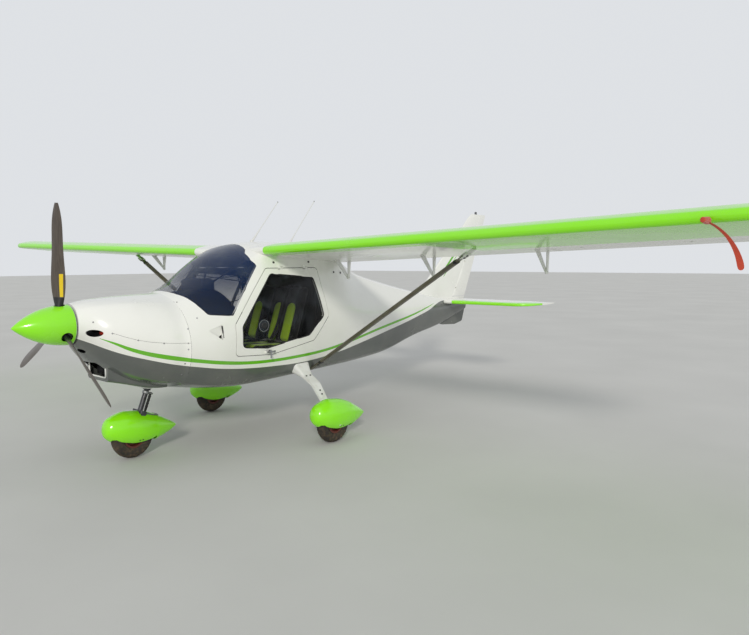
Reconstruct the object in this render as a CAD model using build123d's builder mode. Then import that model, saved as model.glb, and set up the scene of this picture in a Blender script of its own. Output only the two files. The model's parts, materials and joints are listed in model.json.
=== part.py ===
"""Light sport aircraft: a two-seat, strut-braced high-wing tricycle, built from its separate pieces.

Frame: +Z up, nose towards -Y, left wing towards +X, origin on the ground below the middle of
the whole aircraft. Stations are distances aft of the spinner's tip. All sizes in millimetres.
"""

from build123d import *
import math
import os

os.makedirs("parts", exist_ok=True)

# Overall layout
RUDDER_TIP_STATION = 6055
NOSE_Y = -RUDDER_TIP_STATION / 2
FIT = 0.3


def at(station):
    """Y of a station, measured aft from the spinner's tip."""
    return NOSE_Y + station


def deg_sin(angle):
    return math.sin(math.radians(angle))


def deg_cos(angle):
    return math.cos(math.radians(angle))


def drop_scraps(piece):
    """Take every solid but the largest away from the piece that is being built."""
    for scrap in piece.solids().sort_by(SortBy.VOLUME)[:-1]:
        add(scrap, mode=Mode.SUBTRACT)


def save(part, name):
    """Label a finished piece and write it as its own STEP file."""
    part.label = name
    export_step(part, f"parts/{name}.step")


# Fuselage: frames from firewall to tail post, each a bulged belly, sides and roof
WALL = 20
GLASS = 5
BOOM_WALL = 8
COWL_WALL = 6
TAIL_END_STATION = 5560
FRAMES = (
    # station, half width, waist z, top z, belly z, shoulder x, shoulder z, chine x, chine z, roof r, chine r
    (1090, 500, 930, 1306, 545, 300, 1232, 360, 603, 110, 120),
    (1350, 543, 940, 1405, 500, 335, 1350, 420, 562, 95, 120),
    (1620, 560, 950, 1608, 474, 412, 1508, 450, 540, 90, 120),
    (1900, 565, 950, 1715, 480, 485, 1640, 460, 545, 90, 120),
    (2350, 560, 950, 1728, 494, 478, 1640, 455, 560, 90, 120),
    (2750, 512, 960, 1640, 500, 415, 1576, 410, 565, 70, 115),
    (3150, 410, 970, 1468, 504, 295, 1425, 325, 565, 60, 100),
    (3750, 275, 970, 1328, 543, 190, 1295, 205, 590, 55, 75),
    (4350, 175, 970, 1208, 662, 120, 1180, 125, 700, 40, 50),
    (4950, 100, 950, 1106, 762, 65, 1085, 68, 790, 25, 28),
    (5560, 34, 1000, 1060, 925, 24, 1050, 24, 936, 8, 8),
)
# Frames drawn for each gap in the table
FRAME_STEPS = 3
# Cabin and boom part along this line, seen from the side
SEAM = ((2600, 400), (2617, 805), (2732, 977), (2989, 1370), (2989, 1800))
# Half width of the cutting blocks that pass right through the fuselage, and a length beyond any piece
CUT_REACH = 800
BEYOND = 2000


def frame_outline(row, inset=0):
    """One fuselage frame, drawn inset from the outer skin."""
    station, half, waist, top, belly, shoulder, shoulder_z, chine, chine_z, roof_r, chine_r = row
    half = half - inset
    top = top - inset
    belly = belly + inset
    shoulder = shoulder - inset
    shoulder_z = shoulder_z - inset
    chine = chine - inset
    chine_z = chine_z + inset
    with BuildSketch(Plane.XZ.offset(-at(station))) as outline:
        with BuildLine():
            ThreePointArc((-chine, chine_z), (0, belly), (chine, chine_z))
            ThreePointArc((chine, chine_z), (half, waist), (shoulder, shoulder_z))
            ThreePointArc((shoulder, shoulder_z), (0, top), (-shoulder, shoulder_z))
            ThreePointArc((-shoulder, shoulder_z), (-half, waist), (-chine, chine_z))
        make_face()
        corners = outline.vertices().sort_by(Axis.Y)
        fillet(corners[-2:], max(roof_r - inset, 4))
        fillet(outline.vertices().sort_by(Axis.Y)[:2], max(chine_r - inset, 4))
    return outline.sketch


def side_cutter(points, corner, inner_x, outer_x, grow=0):
    """A block seen from the side as an outline of stations and heights, with rounded corners."""
    with BuildPart() as cutter:
        with BuildSketch(Plane.YZ.offset(inner_x)) as outline:
            with BuildLine():
                Polyline([(at(station), z) for station, z in points], close=True)
            make_face()
            if corner:
                fillet(outline.vertices(), corner)
            if grow:
                offset(amount=grow)
        extrude(amount=outer_x - inner_x)
    return cutter.part


def between_frames(rows, gap, share):
    """A frame part of the way across one gap of a table, on smooth curves through its columns."""
    ahead, behind = rows[gap], rows[gap + 1]
    before = rows[max(gap - 1, 0)]
    after = rows[min(gap + 2, len(rows) - 1)]
    span = behind[0] - ahead[0]
    frame = [ahead[0] + share * span]
    for column in range(1, len(ahead)):
        slope_in = (behind[column] - before[column]) / (behind[0] - before[0])
        slope_out = (after[column] - ahead[column]) / (after[0] - ahead[0])
        frame.append(
            (2 * share**3 - 3 * share**2 + 1) * ahead[column]
            + (share**3 - 2 * share**2 + share) * span * slope_in
            + (3 * share**2 - 2 * share**3) * behind[column]
            + (share**3 - share**2) * span * slope_out
        )
    return tuple(frame)


def hull(rows, inset=0):
    """The form through a table of frames, drawn inset from the skin."""
    frames = [between_frames(rows, gap, step / FRAME_STEPS)
              for gap in range(len(rows) - 1) for step in range(FRAME_STEPS)]
    frames.append(rows[-1])
    with BuildPart() as form:
        loft([frame_outline(frame, inset) for frame in frames])
    return form.part


BODY = hull(FRAMES)
CABIN_SPACE = hull(FRAMES[:9], WALL)
GLASS_BACK = hull(FRAMES[:9], GLASS)
BOOM_SPACE = hull(FRAMES[3:], BOOM_WALL)

CABIN_ZONE = side_cutter(((1000, 300),) + SEAM + ((1000, 1800),), 0, -CUT_REACH, CUT_REACH)
BOOM_ZONE = side_cutter(SEAM + ((5700, 1800), (5700, 400)), 0, -CUT_REACH, CUT_REACH)

# Windscreen: from its base at the firewall up to the wing's leading edge
SCREEN_SIDE = ((1085, 1345), (1137, 1316), (1174, 1280), (1268, 1140), (1466, 1122), (1750, 1518), (1722, 1566),
               (1746, 1622), (1830, 1690), (1872, 1712), (1872, 1790), (1300, 1790))
SCREEN_CORNER = 14
SCREEN_CUT = side_cutter(SCREEN_SIDE, SCREEN_CORNER, -CUT_REACH, CUT_REACH)
SCREEN_PANE = side_cutter(SCREEN_SIDE, SCREEN_CORNER, -CUT_REACH, CUT_REACH, -FIT)

# Doors: hinged along their top edge, with a large window
DOOR_TOP_Z = 1500
DOOR_SIDE = ((1470, 790), (1470, 1052), (1815, DOOR_TOP_Z), (2392, DOOR_TOP_Z), (2424, 1334), (2512, 1060),
             (2330, 845), (1850, 766))
DOOR_CORNER = 38
DOOR_GAP = 5
DOOR_INNER_X = 250
DOOR_OUTER_X = 700
WINDOW_SIDE = ((1538, 858), (1538, 1030), (1850, 1452), (2322, 1412), (2440, 1064), (2260, 900), (1792, 830))
WINDOW_CORNER = 45
DOOR_CUT = side_cutter(DOOR_SIDE, DOOR_CORNER, DOOR_INNER_X, DOOR_OUTER_X)
DOOR_PANEL = side_cutter(DOOR_SIDE, DOOR_CORNER, DOOR_INNER_X, DOOR_OUTER_X, -DOOR_GAP)
WINDOW_CUT = side_cutter(WINDOW_SIDE, WINDOW_CORNER, DOOR_INNER_X, DOOR_OUTER_X)
WINDOW_PANE = side_cutter(WINDOW_SIDE, WINDOW_CORNER, DOOR_INNER_X, DOOR_OUTER_X, -FIT)


def skin_x(station, height):
    """Half width of the fuselage at a station and height."""
    ray = Edge.make_line((0, at(station), height), (900, at(station), height))
    return (ray & BODY).bounding_box().max.X


def left_and_right(part, name):
    """Save a left-hand piece and its mirror image."""
    save(part, name + "_left")
    save(mirror(part, about=Plane.YZ), name + "_right")


def pair(part, name):
    """Save a left-hand piece and its mirror image as two solids of one node."""
    with BuildPart() as both:
        add(part)
        mirror(part, about=Plane.YZ)
    save(both.part, name)


# Cabin shell: the hollow body from firewall to seam, with its door openings and screen opening
FLOOR_Z = 600
FLOOR_THICKNESS = 12

with BuildPart() as cabin_shell:
    add(BODY)
    add(CABIN_ZONE, mode=Mode.INTERSECT)
    add(CABIN_SPACE, mode=Mode.SUBTRACT)
    add(SCREEN_CUT, mode=Mode.SUBTRACT)
    add(DOOR_CUT, mode=Mode.SUBTRACT)
    mirror(DOOR_CUT, about=Plane.YZ, mode=Mode.SUBTRACT)

with BuildPart() as windscreen:
    add(BODY)
    add(SCREEN_PANE, mode=Mode.INTERSECT)
    add(GLASS_BACK, mode=Mode.SUBTRACT)
save(windscreen.part, "windscreen")

with BuildPart() as door_glass_left:
    add(BODY)
    add(WINDOW_PANE, mode=Mode.INTERSECT)
    add(GLASS_BACK, mode=Mode.SUBTRACT)
left_and_right(door_glass_left.part, "door_glass")

# Door hinges: knuckles in line along the door's top edge, on pins fixed to the cabin
HINGE_STATIONS = (1960, 2240)
HINGE_Z = DOOR_TOP_Z - DOOR_GAP / 2
HINGE_X = skin_x(HINGE_STATIONS[0], HINGE_Z)
KNUCKLE_RADIUS = 7
KNUCKLE_LENGTH = 24
KNUCKLE_CLEARANCE = 0.5
HINGE_PIN_RADIUS = 3
LEAF_LENGTH = 26
LEAF_THICKNESS = 6


def hinge_knuckle(station, side, upward):
    """A knuckle with its leaf: side -1 is ahead of the station and 1 behind it."""
    start = at(station) + side * KNUCKLE_CLEARANCE / 2
    middle = start + side * KNUCKLE_LENGTH / 2
    leaf_z = HINGE_Z + upward * LEAF_LENGTH / 2
    with BuildPart() as knuckle:
        with Locations((HINGE_X, middle, HINGE_Z)):
            Cylinder(KNUCKLE_RADIUS, KNUCKLE_LENGTH, rotation=(90, 0, 0))
        with Locations((HINGE_X - KNUCKLE_RADIUS / 2, middle, leaf_z)):
            Box(KNUCKLE_RADIUS + LEAF_THICKNESS, KNUCKLE_LENGTH, LEAF_LENGTH)
    return knuckle.part


def door_bores():
    """The clear space round the hinge pins, through the door's knuckles."""
    with BuildPart() as bores:
        with Locations([(HINGE_X, at(station), HINGE_Z) for station in HINGE_STATIONS]):
            Cylinder(HINGE_PIN_RADIUS + FIT, 4 * KNUCKLE_LENGTH, rotation=(90, 0, 0))
    return bores.part


def door_relief(reach):
    """Room in one panel for the knuckles that belong to the other."""
    with BuildPart() as relief:
        with Locations([(HINGE_X, at(station), HINGE_Z) for station in HINGE_STATIONS]):
            Cylinder(reach, 2 * KNUCKLE_LENGTH + 2 * DOOR_GAP, rotation=(90, 0, 0))
    return relief.part


HINGE_RELIEF = door_relief(KNUCKLE_RADIUS + DOOR_GAP)
HANDLE_STATION = 1803
HANDLE_Z = 800
HANDLE_LENGTH = 70
HANDLE_HEIGHT = 18
HANDLE_DEPTH = 14

HANDLE_X = skin_x(HANDLE_STATION, HANDLE_Z)
with BuildPart() as door_left:
    add(BODY)
    add(DOOR_PANEL, mode=Mode.INTERSECT)
    add(WINDOW_CUT, mode=Mode.SUBTRACT)
    add(CABIN_SPACE, mode=Mode.SUBTRACT)
    add(HINGE_RELIEF, mode=Mode.SUBTRACT)
    for hinge_station in HINGE_STATIONS:
        add(hinge_knuckle(hinge_station, 1, -1))
    add(door_bores(), mode=Mode.SUBTRACT)
    with Locations((HANDLE_X, at(HANDLE_STATION), HANDLE_Z)):
        Box(2 * HANDLE_DEPTH, HANDLE_LENGTH, HANDLE_HEIGHT)
left_and_right(door_left.part, "door")

with BuildPart() as cabin_hinges:
    for hinge_station in HINGE_STATIONS:
        add(hinge_knuckle(hinge_station, -1, 1))
        with Locations((HINGE_X, at(hinge_station), HINGE_Z)):
            Cylinder(HINGE_PIN_RADIUS, 2 * KNUCKLE_LENGTH, rotation=(90, 0, 0))

# Flush air inlets in the cabin's sides: a ramp that starts at a point and deepens to its rear wall
DUCT_SIDE = ((1238, 1018), (1359, 1057), (1349, 939))
DUCT_DEPTH = 15
DUCT_TIP_X = skin_x(DUCT_SIDE[0][0], DUCT_SIDE[0][1])
DUCT_REAR_X = skin_x(DUCT_SIDE[1][0], DUCT_SIDE[0][1]) - DUCT_DEPTH
with BuildPart() as air_duct:
    add(side_cutter(DUCT_SIDE, 0, DOOR_INNER_X, DOOR_OUTER_X))
    with BuildSketch(Plane.XY.offset(DOOR_TOP_Z)):
        with BuildLine():
            Polyline((DUCT_TIP_X, at(DUCT_SIDE[0][0])), (DUCT_REAR_X, at(DUCT_SIDE[1][0])),
                     (DOOR_OUTER_X, at(DUCT_SIDE[1][0])), (DOOR_OUTER_X, at(DUCT_SIDE[0][0])), close=True)
        make_face()
    extrude(amount=-DOOR_TOP_Z, mode=Mode.INTERSECT)

with BuildPart() as cabin:
    add(cabin_shell.part)
    add(air_duct.part, mode=Mode.SUBTRACT)
    mirror(air_duct.part, about=Plane.YZ, mode=Mode.SUBTRACT)
    add(HINGE_RELIEF, mode=Mode.SUBTRACT)
    mirror(HINGE_RELIEF, about=Plane.YZ, mode=Mode.SUBTRACT)
    add(cabin_hinges.part)
    mirror(cabin_hinges.part, about=Plane.YZ)
save(cabin.part, "cabin_shell")

# Tail boom: a thin hollow cone closed by a tail post
TAIL_POST = 60
BOOM_END = side_cutter(((TAIL_END_STATION - TAIL_POST, 400), (TAIL_END_STATION - TAIL_POST, 1800),
                        (5700, 1800), (5700, 400)), 0, -CUT_REACH, CUT_REACH)

with BuildPart() as boom_space:
    add(BOOM_SPACE)
    add(BOOM_END, mode=Mode.SUBTRACT)

with BuildPart() as tail_boom:
    add(BODY)
    add(BOOM_ZONE, mode=Mode.INTERSECT)
    add(boom_space.part, mode=Mode.SUBTRACT)

# Wing section: nose circle, crest and gently curved underside, as shares of the chord
CREST_AT = 0.32
CREST = 0.092
NOSE_TOP_AT = 0.02
NOSE_TOP = 0.035
TRAILING_EDGE = 0.006
WING_CHORD = 1060
WING_ROOT_X = 488
WING_TIP_X = 4830
WING_NOSE_STATION = 1800
WING_NOSE_Z = 1642
WING_INCIDENCE = 5.0
WING_DIHEDRAL = 1.93
WING_INNER_X = 60
SPAN_WAY = Vector(deg_cos(WING_DIHEDRAL), 0, deg_sin(WING_DIHEDRAL))
ROOT_CHORD_WAY = Vector(0, deg_cos(WING_INCIDENCE), -deg_sin(WING_INCIDENCE))
CHORD_WAY = SPAN_WAY.cross(ROOT_CHORD_WAY).cross(SPAN_WAY).normalized()


def wing_plane(x, setback=0):
    """Section plane square to the left wing: origin on the leading edge, x along the chord, y up."""
    nose_z = WING_NOSE_Z + (x - WING_ROOT_X) * math.tan(math.radians(WING_DIHEDRAL))
    nose = Vector(x, at(WING_NOSE_STATION), nose_z)
    return Plane(origin=nose + CHORD_WAY * setback, x_dir=CHORD_WAY, z_dir=SPAN_WAY)


def wing_section(plane, chord, depth=1.0):
    """Cambered aerofoil of three arcs and a nose circle on a section plane."""
    crest = (CREST_AT * chord, CREST * chord * depth)
    run = (CREST_AT - NOSE_TOP_AT) * chord
    drop = (CREST - NOSE_TOP) * chord * depth
    crest_radius = (run * run + drop * drop) / (2 * drop)
    slope = math.asin(run / crest_radius)
    nose_top = (NOSE_TOP_AT * chord, NOSE_TOP * chord * depth)
    nose_radius = nose_top[0] / (1 - math.sin(slope))
    nose_middle = nose_top[1] - nose_radius * math.cos(slope)
    nose_low = (nose_radius, nose_middle - nose_radius)
    edge = TRAILING_EDGE * chord / 2
    with BuildSketch(plane) as section:
        with BuildLine():
            ThreePointArc(nose_top, (0, nose_middle), nose_low)
            TangentArc(nose_low, (chord, -edge), tangent=(1, 0))
            Line((chord, -edge), (chord, edge))
            TangentArc(crest, (chord, edge), tangent=(1, 0))
            TangentArc(crest, nose_top, tangent=(-1, 0))
        make_face()
    return section.sketch


# Wing tip: distance in from the tip, how far the leading edge is swept back, depth share
TIP_SECTIONS = ((220, 0, 1.0), (100, 6, 0.96), (40, 26, 0.88), (10, 60, 0.74), (0, 95, 0.6))

with BuildPart() as wing_form:
    wing_sections = [wing_section(wing_plane(WING_INNER_X), WING_CHORD)]
    for inboard, setback, depth in TIP_SECTIONS:
        tip_plane = wing_plane(WING_TIP_X - inboard, setback)
        wing_sections.append(wing_section(tip_plane, WING_CHORD - setback, depth))
    loft(wing_sections, ruled=True)

# Flaps and ailerons: the rear of the wing, cut along the span
FLAP_SPAN = (540, 2660)
AILERON_SPAN = (2684, 4480)
FLAP_NOSE = 850
AILERON_NOSE = 792
NOSE_LIFT = 20
FLAP_NOSE_RADIUS = 20
AILERON_NOSE_RADIUS = 35
SURFACE_GAP = 6
SURFACE_END_GAP = 8
CUT_BACK = 400
CUT_DEPTH = 200


def rear_profile(x, nose, radius, grow):
    """Region of the wing section behind a rounded nose, grown by a gap."""
    with BuildSketch(wing_plane(x)) as region:
        with Locations((nose + radius + CUT_BACK / 2, NOSE_LIFT)):
            Rectangle(CUT_BACK, CUT_DEPTH)
        with Locations((nose + radius, NOSE_LIFT)):
            Circle(radius + grow)
    return region.sketch


def spanwise(profile, x_from, x_to):
    """Sweep a chordwise profile square to itself along the span."""
    with BuildPart() as swept:
        extrude(profile, amount=(x_to - x_from) / deg_cos(WING_DIHEDRAL), dir=SPAN_WAY)
    return swept.part


def rear_region(span, nose, radius, grow=0, ends=0):
    """The part of the wing that a flap or aileron takes, with room round it if grown."""
    start, end = span[0] - ends, span[1] + ends
    return spanwise(rear_profile(start, nose, radius, grow), start, end)


FLAP_REGION = rear_region(FLAP_SPAN, FLAP_NOSE, FLAP_NOSE_RADIUS)
FLAP_ROOM = rear_region(FLAP_SPAN, FLAP_NOSE, FLAP_NOSE_RADIUS, SURFACE_GAP, SURFACE_END_GAP)
AILERON_REGION = rear_region(AILERON_SPAN, AILERON_NOSE, AILERON_NOSE_RADIUS)
AILERON_ROOM = rear_region(AILERON_SPAN, AILERON_NOSE, AILERON_NOSE_RADIUS, SURFACE_GAP, SURFACE_END_GAP)

# Flap brackets: a fixed leg from the wing and a moving leg from the flap, pinned at their tip
BRACKET_X = (590, 1568, 2587)
FLAP_PIVOT_BACK = 945
FLAP_PIVOT_DROP = 162
BRACKET_THICKNESS = 8
BRACKET_WIDTH = 24
BRACKET_CLEARANCE = 0.5
PIVOT_BOSS_RADIUS = 14
PIVOT_PIN_RADIUS = 4
FIXED_LEG_TOP = (760, -8)
FLAP_LEG_TOP = (FLAP_PIVOT_BACK + 8, 6)


def leg_profile(x, top):
    """One bracket leg: a strip from the pivot to a point in the wing section, with a round end."""
    pivot = (FLAP_PIVOT_BACK, -FLAP_PIVOT_DROP)
    length = math.hypot(top[0] - pivot[0], top[1] - pivot[1])
    lean = math.degrees(math.atan2(top[1] - pivot[1], top[0] - pivot[0]))
    with BuildSketch(wing_plane(x)) as leg:
        with Locations(Location((pivot[0], pivot[1]), lean)):
            with Locations((length / 2, 0)):
                Rectangle(length, BRACKET_WIDTH)
        with Locations(pivot):
            Circle(PIVOT_BOSS_RADIUS)
    return leg.sketch


def pivot_disc(x, radius):
    """A disc round the flap's pivot line."""
    with BuildSketch(wing_plane(x)) as disc:
        with Locations((FLAP_PIVOT_BACK, -FLAP_PIVOT_DROP)):
            Circle(radius)
    return disc.sketch


with BuildPart() as wing_left:
    add(wing_form.part)
    add(FLAP_ROOM, mode=Mode.SUBTRACT)
    add(AILERON_ROOM, mode=Mode.SUBTRACT)
    add(BODY, mode=Mode.SUBTRACT)

with BuildPart() as flap_left:
    add(wing_form.part)
    add(FLAP_REGION, mode=Mode.INTERSECT)
    for bracket_x in BRACKET_X:
        flap_leg_x = bracket_x + BRACKET_CLEARANCE / 2
        add(spanwise(leg_profile(flap_leg_x, FLAP_LEG_TOP), flap_leg_x, flap_leg_x + BRACKET_THICKNESS))
        bore_x = bracket_x - BRACKET_THICKNESS
        bore = spanwise(pivot_disc(bore_x, PIVOT_PIN_RADIUS + FIT), bore_x, bore_x + 3 * BRACKET_THICKNESS)
        add(bore, mode=Mode.SUBTRACT)
left_and_right(flap_left.part, "flap")

with BuildPart() as flap_brackets_left:
    for bracket_x in BRACKET_X:
        fixed_leg_x = bracket_x - BRACKET_CLEARANCE / 2 - BRACKET_THICKNESS
        add(spanwise(leg_profile(fixed_leg_x, FIXED_LEG_TOP), fixed_leg_x, fixed_leg_x + BRACKET_THICKNESS))
        pin_end = bracket_x + BRACKET_THICKNESS + 4
        add(spanwise(pivot_disc(fixed_leg_x, PIVOT_PIN_RADIUS), fixed_leg_x, pin_end))
    add(wing_form.part, mode=Mode.SUBTRACT)
pair(flap_brackets_left.part, "flap_brackets")

# Ailerons: hung on lugs that reach from the wing into slots in the aileron's nose
LUG_X = (2900, 3600, 4300)
LUG_THICKNESS = 8
LUG_HALF_HEIGHT = 7
LUG_SLOT = 18
LUG_PIN_RADIUS = 3
LUG_PIN_LENGTH = 30
LUG_ROOT = 40
AILERON_HINGE_BACK = AILERON_NOSE + AILERON_NOSE_RADIUS


def section_block(x, x_to, back_from, back_to, low, high):
    """A spanwise block given by its reach along and across the wing section."""
    with BuildSketch(wing_plane(x)) as block:
        with Locations(((back_from + back_to) / 2, (low + high) / 2)):
            Rectangle(back_to - back_from, high - low)
    return spanwise(block.sketch, x, x_to)


def hinge_disc(x, x_to, radius):
    """A spanwise pin round the aileron's hinge line."""
    with BuildSketch(wing_plane(x)) as disc:
        with Locations((AILERON_HINGE_BACK, NOSE_LIFT)):
            Circle(radius)
    return spanwise(disc.sketch, x, x_to)


with BuildPart() as aileron_left:
    add(wing_form.part)
    add(AILERON_REGION, mode=Mode.INTERSECT)
    for lug_x in LUG_X:
        slot = section_block(lug_x - LUG_SLOT / 2, lug_x + LUG_SLOT / 2, AILERON_NOSE - SURFACE_GAP,
                             AILERON_HINGE_BACK + LUG_HALF_HEIGHT + SURFACE_GAP, -CUT_DEPTH, CUT_DEPTH)
        add(slot, mode=Mode.SUBTRACT)
        add(hinge_disc(lug_x - LUG_PIN_LENGTH / 2 - FIT, lug_x + LUG_PIN_LENGTH / 2 + FIT, LUG_PIN_RADIUS + FIT),
            mode=Mode.SUBTRACT)
left_and_right(aileron_left.part, "aileron")

with BuildPart() as wing_lugs:
    for lug_x in LUG_X:
        add(section_block(lug_x - LUG_THICKNESS / 2, lug_x + LUG_THICKNESS / 2, AILERON_NOSE - LUG_ROOT,
                          AILERON_HINGE_BACK, NOSE_LIFT - LUG_HALF_HEIGHT, NOSE_LIFT + LUG_HALF_HEIGHT))
        add(hinge_disc(lug_x - LUG_THICKNESS / 2, lug_x + LUG_THICKNESS / 2, LUG_HALF_HEIGHT))
        add(hinge_disc(lug_x - LUG_PIN_LENGTH / 2, lug_x + LUG_PIN_LENGTH / 2, LUG_PIN_RADIUS))

with BuildPart() as wing_whole:
    add(wing_left.part)
    add(wing_lugs.part)
left_and_right(wing_whole.part, "wing")

# Lift struts: a streamlined tube from the cabin floor to the wing, with a flat fitting at each end
STRUT_FOOT = Vector(480, at(2385), 590)
STRUT_HEAD = Vector(2250, at(2220), 1605)
STRUT_CHORD = 54
STRUT_THICKNESS = 28
STRUT_FITTING_LENGTH = 110
STRUT_FITTING_WIDTH = 44
STRUT_FITTING_THICKNESS = 12
STRUT_OVERRUN = 60
TIE_DOWN_RADIUS = 7
TIE_DOWN_FROM_HEAD = 62


def strut_plane(distance):
    """Plane square to the strut at a distance up from its foot, with x roughly aft."""
    way = (STRUT_HEAD - STRUT_FOOT).normalized()
    return Plane(origin=STRUT_FOOT + way * distance, x_dir=Vector(0, 1, 0).cross(way).cross(way) * -1, z_dir=way)


STRUT_LENGTH = (STRUT_HEAD - STRUT_FOOT).length
with BuildPart() as strut_left:
    with BuildSketch(strut_plane(-STRUT_OVERRUN)):
        Rectangle(STRUT_FITTING_WIDTH, STRUT_FITTING_THICKNESS)
    extrude(amount=STRUT_LENGTH + 2 * STRUT_OVERRUN)
    with BuildSketch(strut_plane(STRUT_FITTING_LENGTH)):
        SlotOverall(STRUT_CHORD, STRUT_THICKNESS)
    extrude(amount=STRUT_LENGTH - 2 * STRUT_FITTING_LENGTH)
    add(BODY, mode=Mode.SUBTRACT)
    add(wing_form.part, mode=Mode.SUBTRACT)
    drop_scraps(strut_left)
    eye_plane = strut_plane(STRUT_LENGTH - TIE_DOWN_FROM_HEAD)
    with BuildSketch(Plane(origin=eye_plane.origin, x_dir=eye_plane.x_dir, z_dir=eye_plane.y_dir)):
        Circle(TIE_DOWN_RADIUS)
    extrude(amount=STRUT_FITTING_THICKNESS, both=True, mode=Mode.SUBTRACT)
pair(strut_left.part, "struts")

# Tail surfaces: symmetrical sections with a nose circle and a flat-sided rear
TAIL_EDGE = 5


def tail_section(plane, chord, thickness):
    """Symmetrical aerofoil on a section plane, x along the chord."""
    crest_at = 0.3 * chord
    half = thickness / 2
    nose = half * 0.55
    with BuildSketch(plane) as section:
        with BuildLine():
            TangentArc((crest_at, half), (nose * 0.35, nose), tangent=(-1, 0))
            ThreePointArc((nose * 0.35, nose), (0, 0), (nose * 0.35, -nose))
            TangentArc((crest_at, -half), (nose * 0.35, -nose), tangent=(-1, 0))
            TangentArc((crest_at, -half), (chord, -TAIL_EDGE / 2), tangent=(1, 0))
            Line((chord, -TAIL_EDGE / 2), (chord, TAIL_EDGE / 2))
            TangentArc((crest_at, half), (chord, TAIL_EDGE / 2), tangent=(1, 0))
        make_face()
    return section.sketch


# Fin and rudder: swept, with the rudder hung behind the fin on a raked hinge line
FIN_ROWS = (
    # height, leading edge station, trailing edge station, thickness
    (1000, 4390, 5518, 78),
    (1105, 4510, 5567, 74),
    (1950, 5460, 5960, 44),
    (2110, 5632, 6035, 34),
    (2168, 5720, RUDDER_TIP_STATION, 22),
)
RUDDER_FOOT_Z = 1105
RUDDER_HINGE_FOOT = (5276, 1105)
RUDDER_HINGE_SLOPE = 0.62
RUDDER_NOSE_RADIUS = 24
TAIL_GAP = 6
TAIL_LUG_ROOT = 30
TAIL_SLOT_HALF_HEIGHT = 80
TAIL_LUG_THICKNESS = 7
TAIL_LUG_HALF_HEIGHT = 6
TAIL_PIN_RADIUS = 2.5
TAIL_PIN_LENGTH = 26
TAIL_SLOT = 17


def tail_sections(rows, plane_of):
    return [tail_section(plane_of(row), row[2] - row[1], row[3]) for row in rows]


def fin_plane(row):
    """Level section plane of the fin, x aft."""
    return Plane(origin=(0, at(row[1]), row[0]), x_dir=(0, 1, 0), z_dir=(0, 0, 1))


with BuildPart() as fin_form:
    loft(tail_sections(FIN_ROWS, fin_plane), ruled=True)

HINGE_LEAN = math.degrees(math.atan(RUDDER_HINGE_SLOPE))
RUDDER_AXIS = Vector(0, deg_sin(HINGE_LEAN), deg_cos(HINGE_LEAN))
RUDDER_REACH = 1400


def rudder_plane(distance):
    """Plane square to the rudder's hinge line, x pointing aft from it."""
    foot = Vector(0, at(RUDDER_HINGE_FOOT[0]), RUDDER_HINGE_FOOT[1])
    return Plane(origin=foot + RUDDER_AXIS * distance, x_dir=(0, deg_cos(HINGE_LEAN), -deg_sin(HINGE_LEAN)),
                 z_dir=RUDDER_AXIS)


def rudder_region(grow):
    """Everything behind the rudder's rounded nose, above its foot, grown by a gap."""
    with BuildPart() as region:
        with BuildSketch(rudder_plane(-RUDDER_REACH / 2)):
            with Locations((CUT_BACK, 0)):
                Rectangle(2 * CUT_BACK, CUT_DEPTH)
            Circle(RUDDER_NOSE_RADIUS + grow)
        extrude(amount=2 * RUDDER_REACH)
        with Locations((0, at(RUDDER_HINGE_FOOT[0]), RUDDER_FOOT_Z - grow - BEYOND / 2)):
            Box(CUT_DEPTH, 2 * BEYOND, BEYOND, mode=Mode.SUBTRACT)
    return region.part


RUDDER_LUGS = (120, 520, 960)


def rudder_block(distance, length, ahead, behind, half):
    """A block along the rudder's hinge line, reaching ahead of it and behind it."""
    with BuildPart() as block:
        with BuildSketch(rudder_plane(distance - length / 2)):
            with Locations(((behind - ahead) / 2, 0)):
                Rectangle(ahead + behind, 2 * half)
        extrude(amount=length)
    return block.part


def rudder_pin(distance, length, radius):
    """A pin on the rudder's hinge line."""
    with BuildPart() as pin:
        with BuildSketch(rudder_plane(distance - length / 2)):
            Circle(radius)
        extrude(amount=length)
    return pin.part


with BuildPart() as rudder:
    add(fin_form.part)
    add(rudder_region(0), mode=Mode.INTERSECT)
    for lug in RUDDER_LUGS:
        add(rudder_block(lug, TAIL_SLOT, RUDDER_NOSE_RADIUS + TAIL_GAP, TAIL_LUG_HALF_HEIGHT + TAIL_GAP,
                         TAIL_SLOT_HALF_HEIGHT), mode=Mode.SUBTRACT)
        add(rudder_pin(lug, TAIL_PIN_LENGTH + 2 * FIT, TAIL_PIN_RADIUS + FIT), mode=Mode.SUBTRACT)
save(rudder.part, "rudder")

with BuildPart() as fin:
    add(fin_form.part)
    add(rudder_region(TAIL_GAP), mode=Mode.SUBTRACT)
    add(BODY, mode=Mode.SUBTRACT)
    drop_scraps(fin)
    for lug in RUDDER_LUGS:
        add(rudder_block(lug, TAIL_LUG_THICKNESS, RUDDER_NOSE_RADIUS + TAIL_LUG_ROOT, 0, TAIL_LUG_HALF_HEIGHT))
        add(rudder_pin(lug, TAIL_LUG_THICKNESS, TAIL_LUG_HALF_HEIGHT))
        add(rudder_pin(lug, TAIL_PIN_LENGTH, TAIL_PIN_RADIUS))
save(fin.part, "fin")

# Ventral fin: closes the boom's underside below the tail
VENTRAL_SIDE = ((4880, 800), (5060, 752), (5330, 738), (5500, 772), (5556, 935), (5540, 990))
VENTRAL_THICKNESS = 26
with BuildPart() as ventral_fin:
    with BuildSketch(Plane.YZ.offset(-VENTRAL_THICKNESS / 2)) as ventral_outline:
        with BuildLine():
            Polyline([(at(station), z) for station, z in VENTRAL_SIDE], close=True)
        make_face()
        fillet(ventral_outline.vertices().sort_by(Axis.Y)[:3], 40)
    extrude(amount=VENTRAL_THICKNESS)
    add(BODY, mode=Mode.SUBTRACT)
save(ventral_fin.part, "ventral_fin")

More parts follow.
